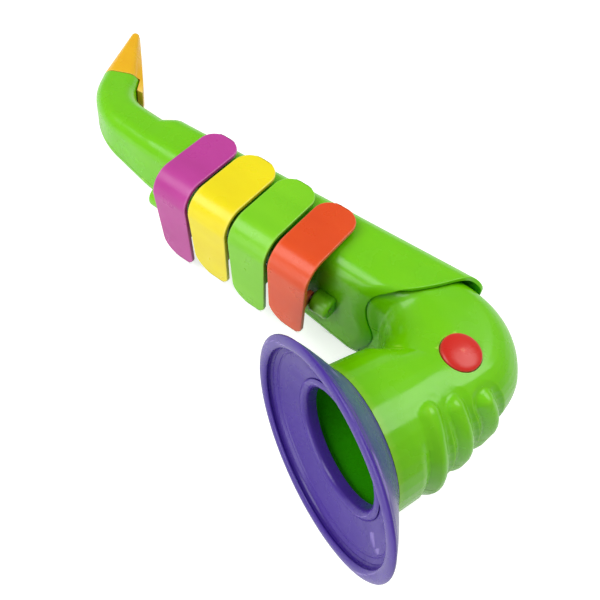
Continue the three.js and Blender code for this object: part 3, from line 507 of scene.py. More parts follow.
SCREW_PLACES = ((-181, 14), (-140, 27.4), (-92, 30.4), (-66, 10), (-50, 32.6))
HEAD_RADIUS = 2.7
HEAD_RECESS = 2.4
SINK_START = -6
SINK_LEAD = ((HEAD_RADIUS + 1.9, -1.0), (HEAD_RADIUS + FIT_GAP - 0.1, 0.6))
SINK_FLOOR = dict(low=HEAD_RECESS - 0.1, high=5.2, radius=3.8)

cover = half_body("rear_cover_moulding", -FIT_GAP / 2, 1)
sinks = [upright(x, y, SINK_START, HEAD_RECESS, HEAD_RADIUS + FIT_GAP) for x, y in SCREW_PLACES]
carved(cover, new_piece("screw_sinks", *sinks, local=FAR_FACE))
round_turns = np.linspace(0, 2 * math.pi, 49)[:-1]
leads = [loft([[Vector((x + r * math.cos(t), y + r * math.sin(t), h)) for t in round_turns] for r, h in SINK_LEAD],
              closed=True) for x, y in SCREW_PLACES]
carved(cover, new_piece("screw_leads", *leads, local=FAR_FACE))
floors = [new_piece("sink_floor", upright(x, y, **SINK_FLOOR), local=FAR_FACE) for x, y in SCREW_PLACES]
cover = smoothed(merged("rear_cover_moulding", [cover, *floors]))
dress(cover, green_abs, nodes=["rear_cover"])

# Mouthpiece
# A solid-looking amber wedge in gloss ABS, pushed over the neck's spigot. On its inner side a tongue runs
# down past the joint, and a slot for the breath opens in its tip.

WEDGE_LENGTH = 38.0
TIP = dict(depth=4.2, half=9.4, corner=1.9)
TIP_ROUND = 2
TIP_DRAWN_IN = 1.5
TONGUE_REACH = 9.5
TONGUE_RISE = 2.2
TONGUE_SHARES = ((-TONGUE_REACH, 0.86), (-WALL, 1.0), (WEDGE_LENGTH - 1.9, 0.1), (WEDGE_LENGTH, 0.0))
CREST_SHARES = (0.66, 0.54, 0.34, 0.12, -0.12, -0.34, -0.54, -0.66)
CREST_FIRST = 18
TONGUE_ROOM = 0.82
TONGUE_CUT = 15.5
PAST_ALL = 60
BREATH = dict(half_depth=0.55, half_thickness=6, corner=0.5)
BREATH_SPAN = (31, 40)
WEDGE_EDGE = 0.35
NECK_OUT = heading(180 - NECK_TURN)
INNER_WAY = heading(90 - NECK_TURN)


def wedge(distance, inset=0.0):
    """A section of the wedge, whose inner side rises to the tongue's crest."""
    share = distance / WEDGE_LENGTH
    place = NECK_END_PLACE + NECK_OUT * distance
    depth, half, corner = sizes_between(NECK_END, TIP, share)
    ring = section(place, 180 - NECK_TURN, depth / 2, half, corner, inset)
    rise = TONGUE_RISE * float(np.interp(distance, *zip(*TONGUE_SHARES)))
    for i, side in enumerate(CREST_SHARES):
        crest = place + INNER_WAY * (depth / 2 + rise - inset)
        ring[CREST_FIRST + i] = crest + Vector((0, 0, side * (half - inset)))
    return ring


wedge_rings = [wedge(d) for d in (-TONGUE_REACH, *np.linspace(-WALL, WEDGE_LENGTH - 3, 14))]
wedge_rings += [wedge(WEDGE_LENGTH - TIP_ROUND + TIP_ROUND * math.sin(t), TIP_DRAWN_IN * (1 - math.cos(t)))
                for t in np.linspace(0, 1.5, 9)]
mouthpiece = new_piece("mouthpiece_moulding", loft(wedge_rings, closed=True))
neck_side = NECK_END["depth"] / 2
below = [NECK_END_PLACE + NECK_OUT * run + INNER_WAY * depth for run, depth in (
    (FIT_GAP, -PAST_ALL), (FIT_GAP, neck_side + FIT_GAP), (-TONGUE_CUT, neck_side + TONGUE_ROOM),
    (-TONGUE_CUT, -PAST_ALL))]
carved(mouthpiece, new_piece("below_the_joint", prism([(p.x, p.y) for p in below], -PAST_ALL, PAST_ALL, "Z")))
breath = [section(NECK_END_PLACE + NECK_OUT * d, 180 - NECK_TURN, **BREATH) for d in BREATH_SPAN]
carved(mouthpiece, new_piece("breath_slot", loft(breath, closed=True)))
eased(mouthpiece, WEDGE_EDGE, angle=42)
smoothed(mouthpiece)
amber_abs = gloss_abs("gloss_amber_abs", "#EAB50C", "#E4AB0A", "#F8D468", "#C87E04", through=0.08)
dress(mouthpiece, amber_abs, nodes=["mouthpiece"])

# Bow
# The green elbow between the body and the bell, moulded as a near and a far half in the same ABS and held
# by one long screw. Three ribs run round its outer side, and their roots blend into the wall.

BEND_RADIUS = 36.0
BELL_ANGLE = 65.5
TUBE_RADIUS = 35.6
BOW_SPIGOT = 13.0
OUTER_SHARES = (0, 0.07, 0.24, 0.51, 0.8, 1.01, 1.12, 1.13, 0.97, 0.83, 0.75, 0.76, 0.864)
INNER_SHARES = (0, 0.08, 0.16, 0.25, 0.34, 0.43, 0.52, 0.61, 0.7, 0.79, 0.87, 0.94, 1)
ROUND_SHARES = (0, 0.05, 0.12, 0.2, 0.3, 0.4, 0.5, 0.6, 0.7, 0.8, 0.88, 0.95, 1)
FRONT_SHARES = (0.34, 0.4, 0.46, 0.53, 0.6, 0.67, 0.74, 0.81, 0.87, 0.92, 0.96, 0.99, 1)
VALLEY_DEPTH = 1.0
VALLEY_START = 0.6
VALLEY_RISE = 4.5
VALLEY_FLOOR = 3
VALLEY_WIDTH = 8.0
VALLEY_FRONT = 13
BELL_FRONT = 64.5
BELL_SIDE = 21.7
COLLAR_DEPTH = 16.4
RIB_RADIUS = 6.4
RIB_RISE = 2.4
RIB_ANGLES = (7.5, -8, -23.5)
RIB_REACHES = (26.5, 30.3, 32.6)
RIB_STEPS = 40
RIBS_FROM = 7.5
BOW_INSIDE_BODY = 58
BOW_SETTLING = 20
BOW_TUBE = 33.3
BOW_TUBE_RUNS = (0.15, 1.5, 3, 4.4, 5.5)
POST_RADIUS = 5.4
POST_REACH = 29
BUTTON_RADIUS = 9.4
BUTTON_SEAT = 31.0
BUTTON_SEAT_WALL = 2.4
BUTTON_SINK = (20, 50)
ROUND_SIDES = 96
INNER_WALL_REACH = 5e-5

BELL_PLACE = Vector((-BELL_SIDE, -BELL_FRONT, 0))
BELL_OUT = heading(180 + BELL_ANGLE)
COLLAR_END = BELL_PLACE - BELL_OUT * COLLAR_DEPTH
BOW_TURN = 180 - BELL_ANGLE
body_middle = BODY_FRONT + body_sizes(-LIP_FRONT)[0] / 2
axis_run = (body_middle - COLLAR_END.y) / -BELL_OUT.y
bow_start = COLLAR_END.x - BELL_OUT.x * axis_run - BEND_RADIUS * math.tan(math.radians(BOW_TURN / 2))
BOW_CENTRE = Vector((bow_start, body_middle - BEND_RADIUS, 0))
BOW_INSET = WALL + FIT_GAP


def evened(ring, count=240):
    """The same ring with its points twice as close on the outer side, where the ribs are, as on average."""
    points = np.array([tuple(p) for p in ring + ring[:1]])
    runs = np.concatenate(([0], np.cumsum(np.linalg.norm(np.diff(points, axis=0), axis=1))))
    shares = np.linspace(0, 1, count + 1)[:-1]
    steps = runs[-1] * (shares - 0.5 * np.sin(2 * math.pi * shares) / (2 * math.pi))
    return [Vector([np.interp(s, runs, points[:, k]) for k in range(3)]) for s in steps]


def bow_size(place):
    """Centre, half depth, half thickness and corner on a ray, with place counted in steps of the tables."""
    depth, half, corner = body_sizes(bow_start)
    start_depth, start_half, start_corner = depth / 2 - BOW_INSET, half - BOW_INSET, corner - BOW_INSET
    start_y = BODY_FRONT + depth / 2 - BOW_CENTRE.y
    outer = mix(start_y + start_depth, BEND_RADIUS + TUBE_RADIUS, flowing(OUTER_SHARES, place))
    inner = mix(start_y - start_depth, BEND_RADIUS - TUBE_RADIUS, flowing(INNER_SHARES, place))
    half = mix(start_half, TUBE_RADIUS, flowing(ROUND_SHARES, place))
    corner = mix(start_corner, TUBE_RADIUS, flowing(ROUND_SHARES, place))
    front_corner = mix(start_corner, TUBE_RADIUS, flowing(FRONT_SHARES, place))
    return (outer + inner) / 2, (outer - inner) / 2, half, (corner, front_corner), outer


def bow_section(place, turn, half_depth, half_thickness, corners, inset=0.0):
    """A rounded section as before, whose near front corner is rounder than its other ones."""
    others, front = (section(place, turn, half_depth, half_thickness, corner, inset) for corner in corners)
    return others[:CORNER_POINTS] + front[CORNER_POINTS:2 * CORNER_POINTS] + others[2 * CORNER_POINTS:]


def valleyed(ring):
    """The ring let in just past the body's lip, deepest at the front, so that the bow rises out of a valley."""
    middle = sum(ring, Vector()) / len(ring)
    made = []
    for point in ring:
        past = point.x - lip_x(point.y, point.z)
        rise = min(max((past + VALLEY_START) / VALLEY_RISE, 0), 1)
        fade = math.exp(-(max(past - VALLEY_FLOOR, 0) / VALLEY_WIDTH) ** 2)
        front = math.exp(-(max(point.y - BODY_FRONT, 0) / VALLEY_FRONT) ** 2) if point.x < 0 else 0
        depth = VALLEY_DEPTH * front * rise * rise * (3 - 2 * rise) * fade
        inwards = middle - point
        made.append(point + inwards.normalized() * depth)
    return made


def bow_skin(inset):
    """Sections of the bow from inside the body's lip to the end of its spigot in the bell."""
    rings = []
    for x in np.linspace(bow_start - BOW_INSIDE_BODY, bow_start - 0.7, 36):
        share = min(max((x - bow_start + BOW_SETTLING) / BOW_SETTLING, 0), 1)
        depth, half, corner = body_sizes(x)
        front_corner = mix(corner, bow_size(0)[3][1] + BOW_INSET, share * share * (3 - 2 * share))
        spot = Vector((x, BODY_FRONT + depth / 2, 0))
        ring = bow_section(spot, 0, depth / 2, half, (corner, front_corner), BOW_INSET + inset)
        rings.append(valleyed(evened(ring)))
    # the rays lie closer together where the ribs are
    for place in (*np.linspace(0, RIBS_FROM, 56), *np.linspace(RIBS_FROM + 0.05, last, 128)):
        turn = BOW_TURN * place / last
        middle, depth, half, corners, _ = bow_size(place)
        spot = BOW_CENTRE + heading(90 - turn) * middle
        rings.append(valleyed(evened(bow_section(spot, -turn, depth, half, corners, inset))))
    for share in np.linspace(0, 1, 12)[1:]:
        depth = mix(bow_size(last)[1], TUBE_RADIUS, share)
        spot = bend_end.lerp(tube_end, share)
        rings.append(evened(section(spot, -BOW_TURN, depth, TUBE_RADIUS, TUBE_RADIUS, inset)))
    for run in (*BOW_TUBE_RUNS[:-1], BOW_TUBE_RUNS[-1] + inset):
        rings.append(evened(section(tube_end + BELL_OUT * run, -BOW_TURN, *[BOW_TUBE] * 3, inset)))
    return rings


last = len(OUTER_SHARES) - 1
tube_end = COLLAR_END - BELL_OUT * FIT_GAP
bend_end = BOW_CENTRE + heading(90 - BOW_TURN) * bow_size(last)[0]


def strung(name, paths):
    """An object of open lines through points in the instrument's frame."""
    points, edges = [], []
    for path in paths:
        for i, point in enumerate(path):
            if i:
                edges.append((len(points) - 1, len(points)))
            points.append(LAID_DOWN @ (point * 0.001))
    mesh = bpy.data.meshes.new(name)
    mesh.from_pydata(points, edges, [])
    return linked(name, mesh)


# the middle lines of the ribs, as far under the wall as the rib's round section is sunk
rib_paths = []
sink = RIB_RADIUS - RIB_RISE
for angle, tip in zip(RIB_ANGLES, RIB_REACHES):
    _, _, half, (corner, _), outer = bow_size((90 - angle) / BOW_TURN * last)
    spread = math.asin(tip / half)
    path = []
    for i in range(RIB_STEPS + 1):
        z = half * math.sin(mix(spread, -spread, i / RIB_STEPS))
        over = max(abs(z) - (half - corner), 0) / corner
        drop = corner * (1 - math.sqrt(max(1 - over * over, 0)))
        inwards = Vector((1 - over * over * 0.5, 0, over * math.copysign(1, z))).normalized()
        out = heading(angle) * (outer - drop - sink * inwards.x)
        path.append(BOW_CENTRE + out + Vector((0, 0, z - sink * inwards.z)))
    rib_paths.append(path)
rib_lines = strung("rib_lines", rib_paths)


def new_tree(name, inputs):
    """A Geometry Nodes tree with a geometry input and output, and named inputs for its sizes."""
    tree = bpy.data.node_groups.new(name, "GeometryNodeTree")
    tree.interface.new_socket("Geometry", in_out="INPUT", socket_type="NodeSocketGeometry")
    tree.interface.new_socket("Geometry", in_out="OUTPUT", socket_type="NodeSocketGeometry")
    for label, kind in inputs.items():
        tree.interface.new_socket(label, in_out="INPUT", socket_type=kind)
    return tree, add(tree, "NodeGroupInput"), add(tree, "NodeGroupOutput")


def ended(tree, geometry, given, result):
    """The last two nodes of a tree: instances made real, and the material."""
    real = add(tree, "GeometryNodeRealizeInstances", {"Geometry": geometry})
    coated = add(tree, "GeometryNodeSetMaterial", {"Geometry": real, "Material": given.outputs["Material"]})
    tree.links.new(coated.outputs[0], result.inputs[0])


def run_tree(piece, tree, values):
    """Runs a tree on a piece with values for its named inputs, and keeps the plain mesh that it makes."""
    modifier = piece.modifiers.new(tree.name, "NODES")
    modifier.node_group = tree
    for item in tree.interface.items_tree:
        if item.in_out == "INPUT" and item.name in values:
            modifier[item.identifier] = values[item.name]
    return settle(piece)


RIB_SIZES = {
    "Radius": RIB_RADIUS / 1000, "Sink": sink / 1000, "Blend": 0.0006, "Trough": 0.0018,
    "Trough Place": 0.0067, "Trough Width": 0.003, "Trough Edge": 0.25,
    "Deep Within": 0.023, "Shallow Past": 0.034, "Shallow Share": 0.15,
    "Middle Height": LAID_DOWN.translation.dot(LAID_DOWN.to_3x3().col[2]),
}
rib_tree, given, result = new_tree("raised_ribs", {
    "Lines": "NodeSocketObject", "Near Way": "NodeSocketVector", "Material": "NodeSocketMaterial",
    **{label: "NodeSocketFloat" for label in RIB_SIZES},
})
lines = add(rib_tree, "GeometryNodeObjectInfo", {"Object": given.outputs["Lines"]})
near = add(rib_tree, "GeometryNodeProximity", {"Geometry": lines.outputs["Geometry"]}, target_element="EDGES")
here = add(rib_tree, "GeometryNodeInputPosition")
height = add(rib_tree, "ShaderNodeVectorMath", {0: here, 1: given.outputs["Near Way"]}, operation="DOT_PRODUCT")
known = {socket.name: socket for socket in given.outputs}
known.update({"distance": near.outputs["Distance"], "height": height.outputs["Value"]})
# the relief: the rib's round back above the wall, less a trough on both sides that fades out towards the ends
for label, operation, *values in (
        ("distance squared", "MULTIPLY", "distance", "distance"),
        ("radius squared", "MULTIPLY", "Radius", "Radius"),
        ("with the sink", "MULTIPLY_ADD", "Sink", "Sink", "radius squared"),
        ("rise squared", "SUBTRACT", "with the sink", "distance squared"),
        ("kept", "MAXIMUM", "rise squared", 0.0),
        ("rise", "SQRT", "kept"),
        ("over the wall", "SUBTRACT", "rise", "Sink"),
        ("rib", "SMOOTH_MAX", "over the wall", 0.0, "Blend"),
        ("aside", "SUBTRACT", "distance", "Trough Place"),
        ("spread", "DIVIDE", "aside", "Trough Width"),
        ("bowl", "MULTIPLY", "spread", "spread"),
        ("level", "SUBTRACT", 1.0, "bowl"),
        ("trough", "SMOOTH_MAX", "level", 0.0, "Trough Edge"),
        ("off the middle", "SUBTRACT", "height", "Middle Height"),
        ("from the seam", "ABSOLUTE", "off the middle")):
    inputs = {i: known.get(value, value) for i, value in enumerate(values)}
    known[label] = add(rib_tree, "ShaderNodeMath", inputs, operation=operation)
shallow = add(rib_tree, "ShaderNodeMapRange", {
    "Value": known["from the seam"], "From Min": given.outputs["Deep Within"],
    "From Max": given.outputs["Shallow Past"], "To Min": 1.0, "To Max": given.outputs["Shallow Share"],
}, interpolation_type="SMOOTHSTEP")
depth = add(rib_tree, "ShaderNodeMath", {0: given.outputs["Trough"], 1: shallow}, operation="MULTIPLY")
let_in = add(rib_tree, "ShaderNodeMath", {0: known["trough"], 1: depth}, operation="MULTIPLY")
relief = add(rib_tree, "ShaderNodeMath", {0: known["rib"], 1: let_in}, operation="SUBTRACT")
outwards = add(rib_tree, "GeometryNodeInputNormal")
move = add(rib_tree, "ShaderNodeVectorMath", {0: outwards, "Scale": relief}, operation="SCALE")
moved = add(rib_tree, "GeometryNodeSetPosition", {"Geometry": given.outputs["Geometry"], "Offset": move})
ended(rib_tree, moved, given, result)


def half_space(place, normal, reach=200, thickness=300):
    """A slab that fills what lies on the normal's side of a plane near the instrument."""
    normal = Vector(normal).normalized()
    side = normal.orthogonal().normalized()
    other = normal.cross(side)
    square = [(reach, reach), (-reach, reach), (-reach, -reach), (reach, -reach)]
    middle = Vector(place)
    rings = [[middle + side * a + other * b + normal * h for a, b in square] for h in (0, thickness)]
    return new_piece("half_space", loft(rings, closed=True))


whole_bow = new_piece("bow", loft(bow_skin(0), closed=True), faces_out=False)
for polygon in whole_bow.data.polygons:
    polygon.use_smooth = True
run_tree(whole_bow, rib_tree, {
    **RIB_SIZES, "Lines": rib_lines, "Near Way": LAID_DOWN.to_3x3().col[2], "Material": green_abs,
})
bpy.data.objects.remove(rib_lines)
carved(whole_bow, half_space((-LIP_FRONT - BOW_SPIGOT, BODY_FRONT, 0), (-1, LIP_SLOPE, 0)))
hollow = new_piece("bow_hollow", loft(bow_skin(WALL), closed=True), faces_out=False)
hollow_skin = BVHTree.FromPolygons(
    [vertex.co for vertex in hollow.data.vertices], [list(face.vertices) for face in hollow.data.polygons])
carved(whole_bow, hollow)
for name, node, side in (("bow_near_moulding", "bow_near_shell", 1), ("bow_far_moulding", "bow_far_shell", -1)):
    half = merged(name, [bpy.data.objects.new("half", whole_bow.data.copy())])
    carved(half, half_space((0, 0, side * FIT_GAP / 2), (0, 0, -side)))
    post_ends = sorted((side * FIT_GAP / 2, side * POST_REACH))
    extras = [new_piece("post", upright(0, 0, *post_ends, POST_RADIUS))]
    if side > 0:
        carved(half, new_piece("button_sink", upright(0, 0, *BUTTON_SINK, BUTTON_RADIUS + FIT_GAP, ROUND_SIDES)))
        extras.append(new_piece("button_seat", upright(
            0, 0, BUTTON_SEAT - BUTTON_SEAT_WALL, BUTTON_SEAT, BUTTON_RADIUS + BUTTON_SEAT_WALL, ROUND_SIDES)))
    half = smoothed(merged(name, [half, *extras]), angle=50)
    # the bow's inner wall is marked so that its material paints it in the darker colour, as painted shade
    mark = half.data.attributes.new("inner_wall", "FLOAT", "POINT")
    for vertex in half.data.vertices:
        mark.data[vertex.index].value = float(hollow_skin.find_nearest(vertex.co)[3] < INNER_WALL_REACH)
    dress(half, green_abs, nodes=[node])
bpy.data.objects.remove(whole_bow)

# Red button
# A plain domed cap in gloss red ABS, pressed into the seat over the bow's screw.

LATHE_RADIUS = 50
DOME_EDGE = 34.0
DOME_MIDDLE = 34.2
DOME_RISE = 2.2
DOME_TURNS = np.linspace(0.12, math.pi / 2 - 0.02, 16)
CAP_MIDDLE = 0.02

lathe_tree, given, result = new_tree("turned_profile", {
    "Sides": "NodeSocketInt", "Circle": "NodeSocketFloat", "Weld": "NodeSocketFloat",
    "Material": "NodeSocketMaterial",
})
line = add(lathe_tree, "GeometryNodeMeshToCurve", {"Mesh": given.outputs["Geometry"]})
ring = add(lathe_tree, "GeometryNodeCurvePrimitiveCircle", {
    "Resolution": given.outputs["Sides"], "Radius": given.outputs["Circle"],
})
spun = add(lathe_tree, "GeometryNodeCurveToMesh", {"Curve": ring, "Profile Curve": line})
shut = add(lathe_tree, "GeometryNodeMergeByDistance", {"Geometry": spun, "Distance": given.outputs["Weld"]})
ended(lathe_tree, shut, given, result)


def rounded(outline, radius, steps=5):
    """A closed outline with its corners rounded as far as its sides allow."""
    made = []
    for i, here in enumerate(outline):
        here, before, after = (np.array(p, float) for p in (here, outline[i - 1], outline[(i + 1) % len(outline)]))
        a, b = before - here, after - here
        reach = min(radius, 0.45 * np.linalg.norm(a), 0.45 * np.linalg.norm(b))
        start, end = here + a / np.linalg.norm(a) * reach, here + b / np.linalg.norm(b) * reach
        for t in np.linspace(0, 1, steps + 1):
            made.append(tuple((1 - t) ** 2 * start + 2 * t * (1 - t) * here + t * t * end))
    return made


def turned(name, profile, place, axis, material, sides):
    """A closed profile of radii and heights, turned about an axis by the tree."""
    mesh = bpy.data.meshes.new(name)
    points = [((r - LATHE_RADIUS) / 1000, -h / 1000, 0) for r, h in profile]
    mesh.from_pydata(points, [(i, (i + 1) % len(points)) for i in range(len(points))], [])
    made = linked(name, mesh)
    run_tree(made, lathe_tree, {
        "Sides": sides, "Circle": LATHE_RADIUS / 1000, "Weld": WELD, "Material": material,
    })
    turn = Vector((0, 0, 1)).rotation_difference(axis).to_matrix().to_4x4()
    made.data.transform(LAID_DOWN @ Matrix.Translation(place * 0.001) @ turn)
    shaped = bmesh.new()
    shaped.from_mesh(made.data)
    bmesh.ops.recalc_face_normals(shaped, faces=shaped.faces)
    shaped.to_mesh(made.data)
    shaped.free()
    return smoothed(made, angle=50)


button_red = gloss_abs("gloss_red_abs", "#CC2216", "#C41C12", "#E66A52", "#8E0C0A", roughness=0.3, through=0.05)
cap_foot = BUTTON_SEAT + FIT_GAP
button_profile = [(CAP_MIDDLE, cap_foot), (BUTTON_RADIUS, cap_foot), (BUTTON_RADIUS, DOME_EDGE)]
button_profile += [(BUTTON_RADIUS * math.cos(t), DOME_MIDDLE + DOME_RISE * math.sin(t)) for t in DOME_TURNS]
button = turned("red_button_cap", button_profile, Vector(), Vector((0, 0, 1)), button_red, ROUND_SIDES)
dress(button, button_red, nodes=["red_button"])

# Bell
# The violet bell in gloss ABS: a rolled rim, a groove inside it, a shallow cone, and a ring round the throat.
# Its collar is pushed over the bow's end.

RIM_RADIUS = 3.2
RIM_FLAT = 0.47
CONE = ((9, 32.4), (7.8, 37.6), (5.9, 44), (4.9, 46.6), (4.3, 47.2), (4.5, 47.8), (3.6, 49.1), (3.1, 49.7),
        (3.3, 50.3), (2.2, 51))
BACK = ((2.6, 54.4), (4.9, 51.6), (8.4, 46.9), (11.8, 42), (14.4, 38), (15.8, 36.2))
COLLAR_RADIUS = 35.8
BELL_RADIUS = 57
THROAT_RING = arc(31.4, -10.6, 2.9, 50, 170, 14)
THROAT_WALL = ((28.4, -11.4), (28.4, -14.8), (30.2, -14.8), (30.2, -10.6), (33.6, -10.6), (33.6, -COLLAR_DEPTH))

bell_profile = [(COLLAR_RADIUS, -COLLAR_DEPTH)] + [(r, -d) for d, r in BACK[::-1]]
bell_profile += [(r, h * RIM_FLAT) for r, h in arc(BELL_RADIUS - RIM_RADIUS, 0, RIM_RADIUS, -60, 210, 24)]
bell_profile += [*((r, -d) for d, r in CONE[::-1]), *THROAT_RING, *THROAT_WALL]
violet_abs = gloss_abs("gloss_violet_abs", "#472D94", "#41288C", "#8B78C6", "#200E78", roughness=0.26, through=0.04)
bell = turned("bell_moulding", rounded(bell_profile, MOULD_EDGE), BELL_PLACE, BELL_OUT, violet_abs, 160)
dress(bell, violet_abs, nodes=["bell"])

# Keys
# Four ABS levers in purple, yellow, lime and red: a plate over the near side, a bend, and a tail in front of
# the body. Two webs under each tail carry it on the hinge rod.

TAIL_LENGTHS = (53.2, 49, 53.2, 49)
KEY_RISE = 5.2
KEY_THICKNESS = 2.4
KEY_REACH = 29.6
KEY_FRONT = 16.4
TAIL_LEAN = 5.2
KEY_BEND = 12.0
PLATE_CORNER_SHARE = 0.422
TAIL_NECK_CORNER_SHARE = 0.494
TAIL_BOW_CORNER_SHARE = 0.225
TAIL_TAPER_SHARE = 0.072
WEB_INSET_SHARE = 0.17
WEB_THICKNESS_SHARE = 0.118
WEB_REACH = 7
WEB_EDGE = 0.3
HUB_RADIUS = 3.3
KEY_EDGE = 0.55
# each key's last two colours: its paler painted edge highlight and its darker painted shade for hollows
KEY_COLOURS = (
    ("purple", "#B83C96", "#AE368C", "#DE92C8", "#84107A"),
    ("yellow", "#E9DA08", "#E2D006", "#F8F090", "#C8A402"),
    ("green", "#7CCB14", "#72C210", "#BCE87A", "#3A9E08"),
    ("red", "#DC4C16", "#D44410", "#F29C78", "#A41C04"),
)
KEY_SLOTS = ("purple_plastic", "yellow_plastic", "lime_plastic", "red_plastic")
tail_slope = math.tan(math.radians(TAIL_LEAN))


def tail_middle(z):
    """How far forward the middle of a tail's wall is at a height."""
    return -KEY_FRONT - tail_slope * z + KEY_THICKNESS / 2


def corner_cut(run, radius):
    """How far a round corner draws in the edge, at a run from the corner's end."""
    return radius - math.sqrt(max(radius ** 2 - (radius - run) ** 2, 0)) if run < radius else 0.0


def key_skin(low, high, length):
    """The outer face of a key as rows across it, from the plate's end to the tail's end."""
    width = high - low
    plate_corner, neck_corner = width * PLATE_CORNER_SHARE, width * TAIL_NECK_CORNER_SHARE
    bow_corner, taper = width * TAIL_BOW_CORNER_SHARE, width * TAIL_TAPER_SHARE
    lean = math.hypot(1, tail_slope)
    bend_z = KEY_RISE - KEY_BEND
    bend_y = -KEY_FRONT + KEY_BEND * lean - tail_slope * bend_z
    bend_run = KEY_BEND * math.radians(90 + TAIL_LEAN)
    flat_run = KEY_REACH - bend_y

    def on_bend(turn):
        """A point on the round bend between the plate and the tail."""
        return Vector((0, bend_y + KEY_BEND * math.cos(turn), bend_z + KEY_BEND * math.sin(turn)))

    start = on_bend(math.radians(180 + TAIL_LEAN))
    end = Vector((0, -KEY_FRONT + tail_slope * length, -length))
    tail_run = (end - start).length
    total = flat_run + bend_run + tail_run

    def spot(run):
        """The point at a run along the key's middle, from the plate's end."""
        if run < flat_run:
            return Vector((0, KEY_REACH - run, KEY_RISE))
        if run < flat_run + bend_run:
            return on_bend(math.pi / 2 + (run - flat_run) / KEY_BEND)
        return start.lerp(end, (run - flat_run - bend_run) / tail_run)

    quarter = np.linspace(0, math.pi / 2, 13)
    runs = [plate_corner * (1 - math.cos(t)) for t in quarter]
    runs += list(np.linspace(plate_corner, flat_run, 8)[1:])
    runs += list(np.linspace(flat_run, flat_run + bend_run, 21)[1:])
    runs += list(np.linspace(flat_run + bend_run, total - neck_corner, 8)[1:])
    runs += [total - neck_corner * (1 - math.cos(t)) for t in quarter[::-1][1:]]
    rows = []
    for run in runs:
        left = total - run
        tapered = taper * min(max((run - flat_run - bend_run) / tail_run, 0), 1)
        first = low + corner_cut(run, plate_corner) + corner_cut(left, neck_corner)
        final = high - corner_cut(run, plate_corner) - corner_cut(left, bow_corner) - tapered
        rows.append([spot(run) + Vector((x, 0, 0)) for x in np.linspace(first, final, 15)])
    count = len(rows[0])
    points = [point for row in rows for point in row]
    faces = [(r * count + i, (r + 1) * count + i, (r + 1) * count + i + 1, r * count + i + 1)
             for r in range(len(rows) - 1) for i in range(count - 1)]
    return points, faces


for (name, *hues), slot_name, (low, _, high), length in zip(KEY_COLOURS, KEY_SLOTS, KEY_PLACES, TAIL_LENGTHS):
    shell = new_piece(f"{name}_key_moulding", key_skin(low, high, length), local=NEAR_FACE, faces_out=False)
    walled(shell, KEY_THICKNESS)
    eased(shell, KEY_EDGE, 4, angle=50)
    webs = []
    web_inset, thick = (high - low) * WEB_INSET_SHARE, (high - low) * WEB_THICKNESS_SHARE
    for x in (low + web_inset, high - web_inset - thick):
        outline = [(tail_middle(-ROD_DEPTH + WEB_REACH), -ROD_DEPTH + WEB_REACH)]
        outline += arc(-ROD_FRONT, -ROD_DEPTH, HUB_RADIUS, 90, -90, 16)
        outline += [(tail_middle(-ROD_DEPTH - WEB_REACH), -ROD_DEPTH - WEB_REACH)]
        web = new_piece("web", prism(outline, x, x + thick, "X"), local=NEAR_FACE)
        eased(web, WEB_EDGE, 2, angle=50)
        webs.append(carved(web, rod_bore(x - 1, x + 4)))
    key = smoothed(merged(f"{name}_key_moulding", [shell, *webs]))
    finish = gloss_abs(f"gloss_{name}_key_abs", *hues, roughness=0.3, through=0.05)
    dress(key, finish, body=f"{name}_key_lever", nodes=[f"{name}_key"])

# Key springs
# A coil of 0.8 mm drawn spring steel round the rod behind each tail, with one leg on the body's front and one
# on the tail. They shut the keys. The leg on the tail swings with its key, so it is a piece of its own.

SPRING_WIRE = 0.4
SPRING_RADIUS = 2.5
SPRING_PITCH = 1.35
SPRING_TURNS = 3.5
SPRING_STEPS = 32
BODY_LEG = 8
TAIL_LEG = 11

coil_paths, leg_paths = [], []
for _, middle, _ in KEY_PLACES:
    start = middle - SPRING_TURNS * SPRING_PITCH / 2
    front = BODY_FRONT - SPRING_WIRE - FIT_GAP
    path = [(start, front, -ROD_DEPTH - BODY_LEG),
            (start, mix(front, SPRING_RADIUS - ROD_FRONT, 0.5), -ROD_DEPTH - BODY_LEG / 2)]
    for i in range(int(SPRING_TURNS * SPRING_STEPS) + 1):
        turn = 2 * math.pi * i / SPRING_STEPS
        path.append((start + SPRING_PITCH * i / SPRING_STEPS, -ROD_FRONT + SPRING_RADIUS * math.cos(turn),
                     -ROD_DEPTH + SPRING_RADIUS * math.sin(turn)))
    drop = -ROD_DEPTH - TAIL_LEG
    leg = -KEY_FRONT - tail_slope * drop + KEY_THICKNESS + SPRING_WIRE + 2 * FIT_GAP
    end = start + SPRING_TURNS * SPRING_PITCH
    path += [(end, mix(leg, -ROD_FRONT - SPRING_RADIUS, 0.5), -ROD_DEPTH - TAIL_LEG / 2), (end, leg, drop)]
    path = [NEAR_FACE @ Vector(point) for point in path]
    coil_paths.append(path[:-3])
    leg_paths.append(path[-4:])

wire_tree, given, result = new_tree("round_wire", {"Radius": "NodeSocketFloat", "Material": "NodeSocketMaterial"})
line = add(wire_tree, "GeometryNodeMeshToCurve", {"Mesh": given.outputs["Geometry"]})
gauge = add(wire_tree, "GeometryNodeCurvePrimitiveCircle", {"Resolution": 12, "Radius": given.outputs["Radius"]})
drawn = add(wire_tree, "GeometryNodeCurveToMesh", {"Curve": line, "Profile Curve": gauge, "Fill Caps": True})
ended(wire_tree, drawn, given, result)


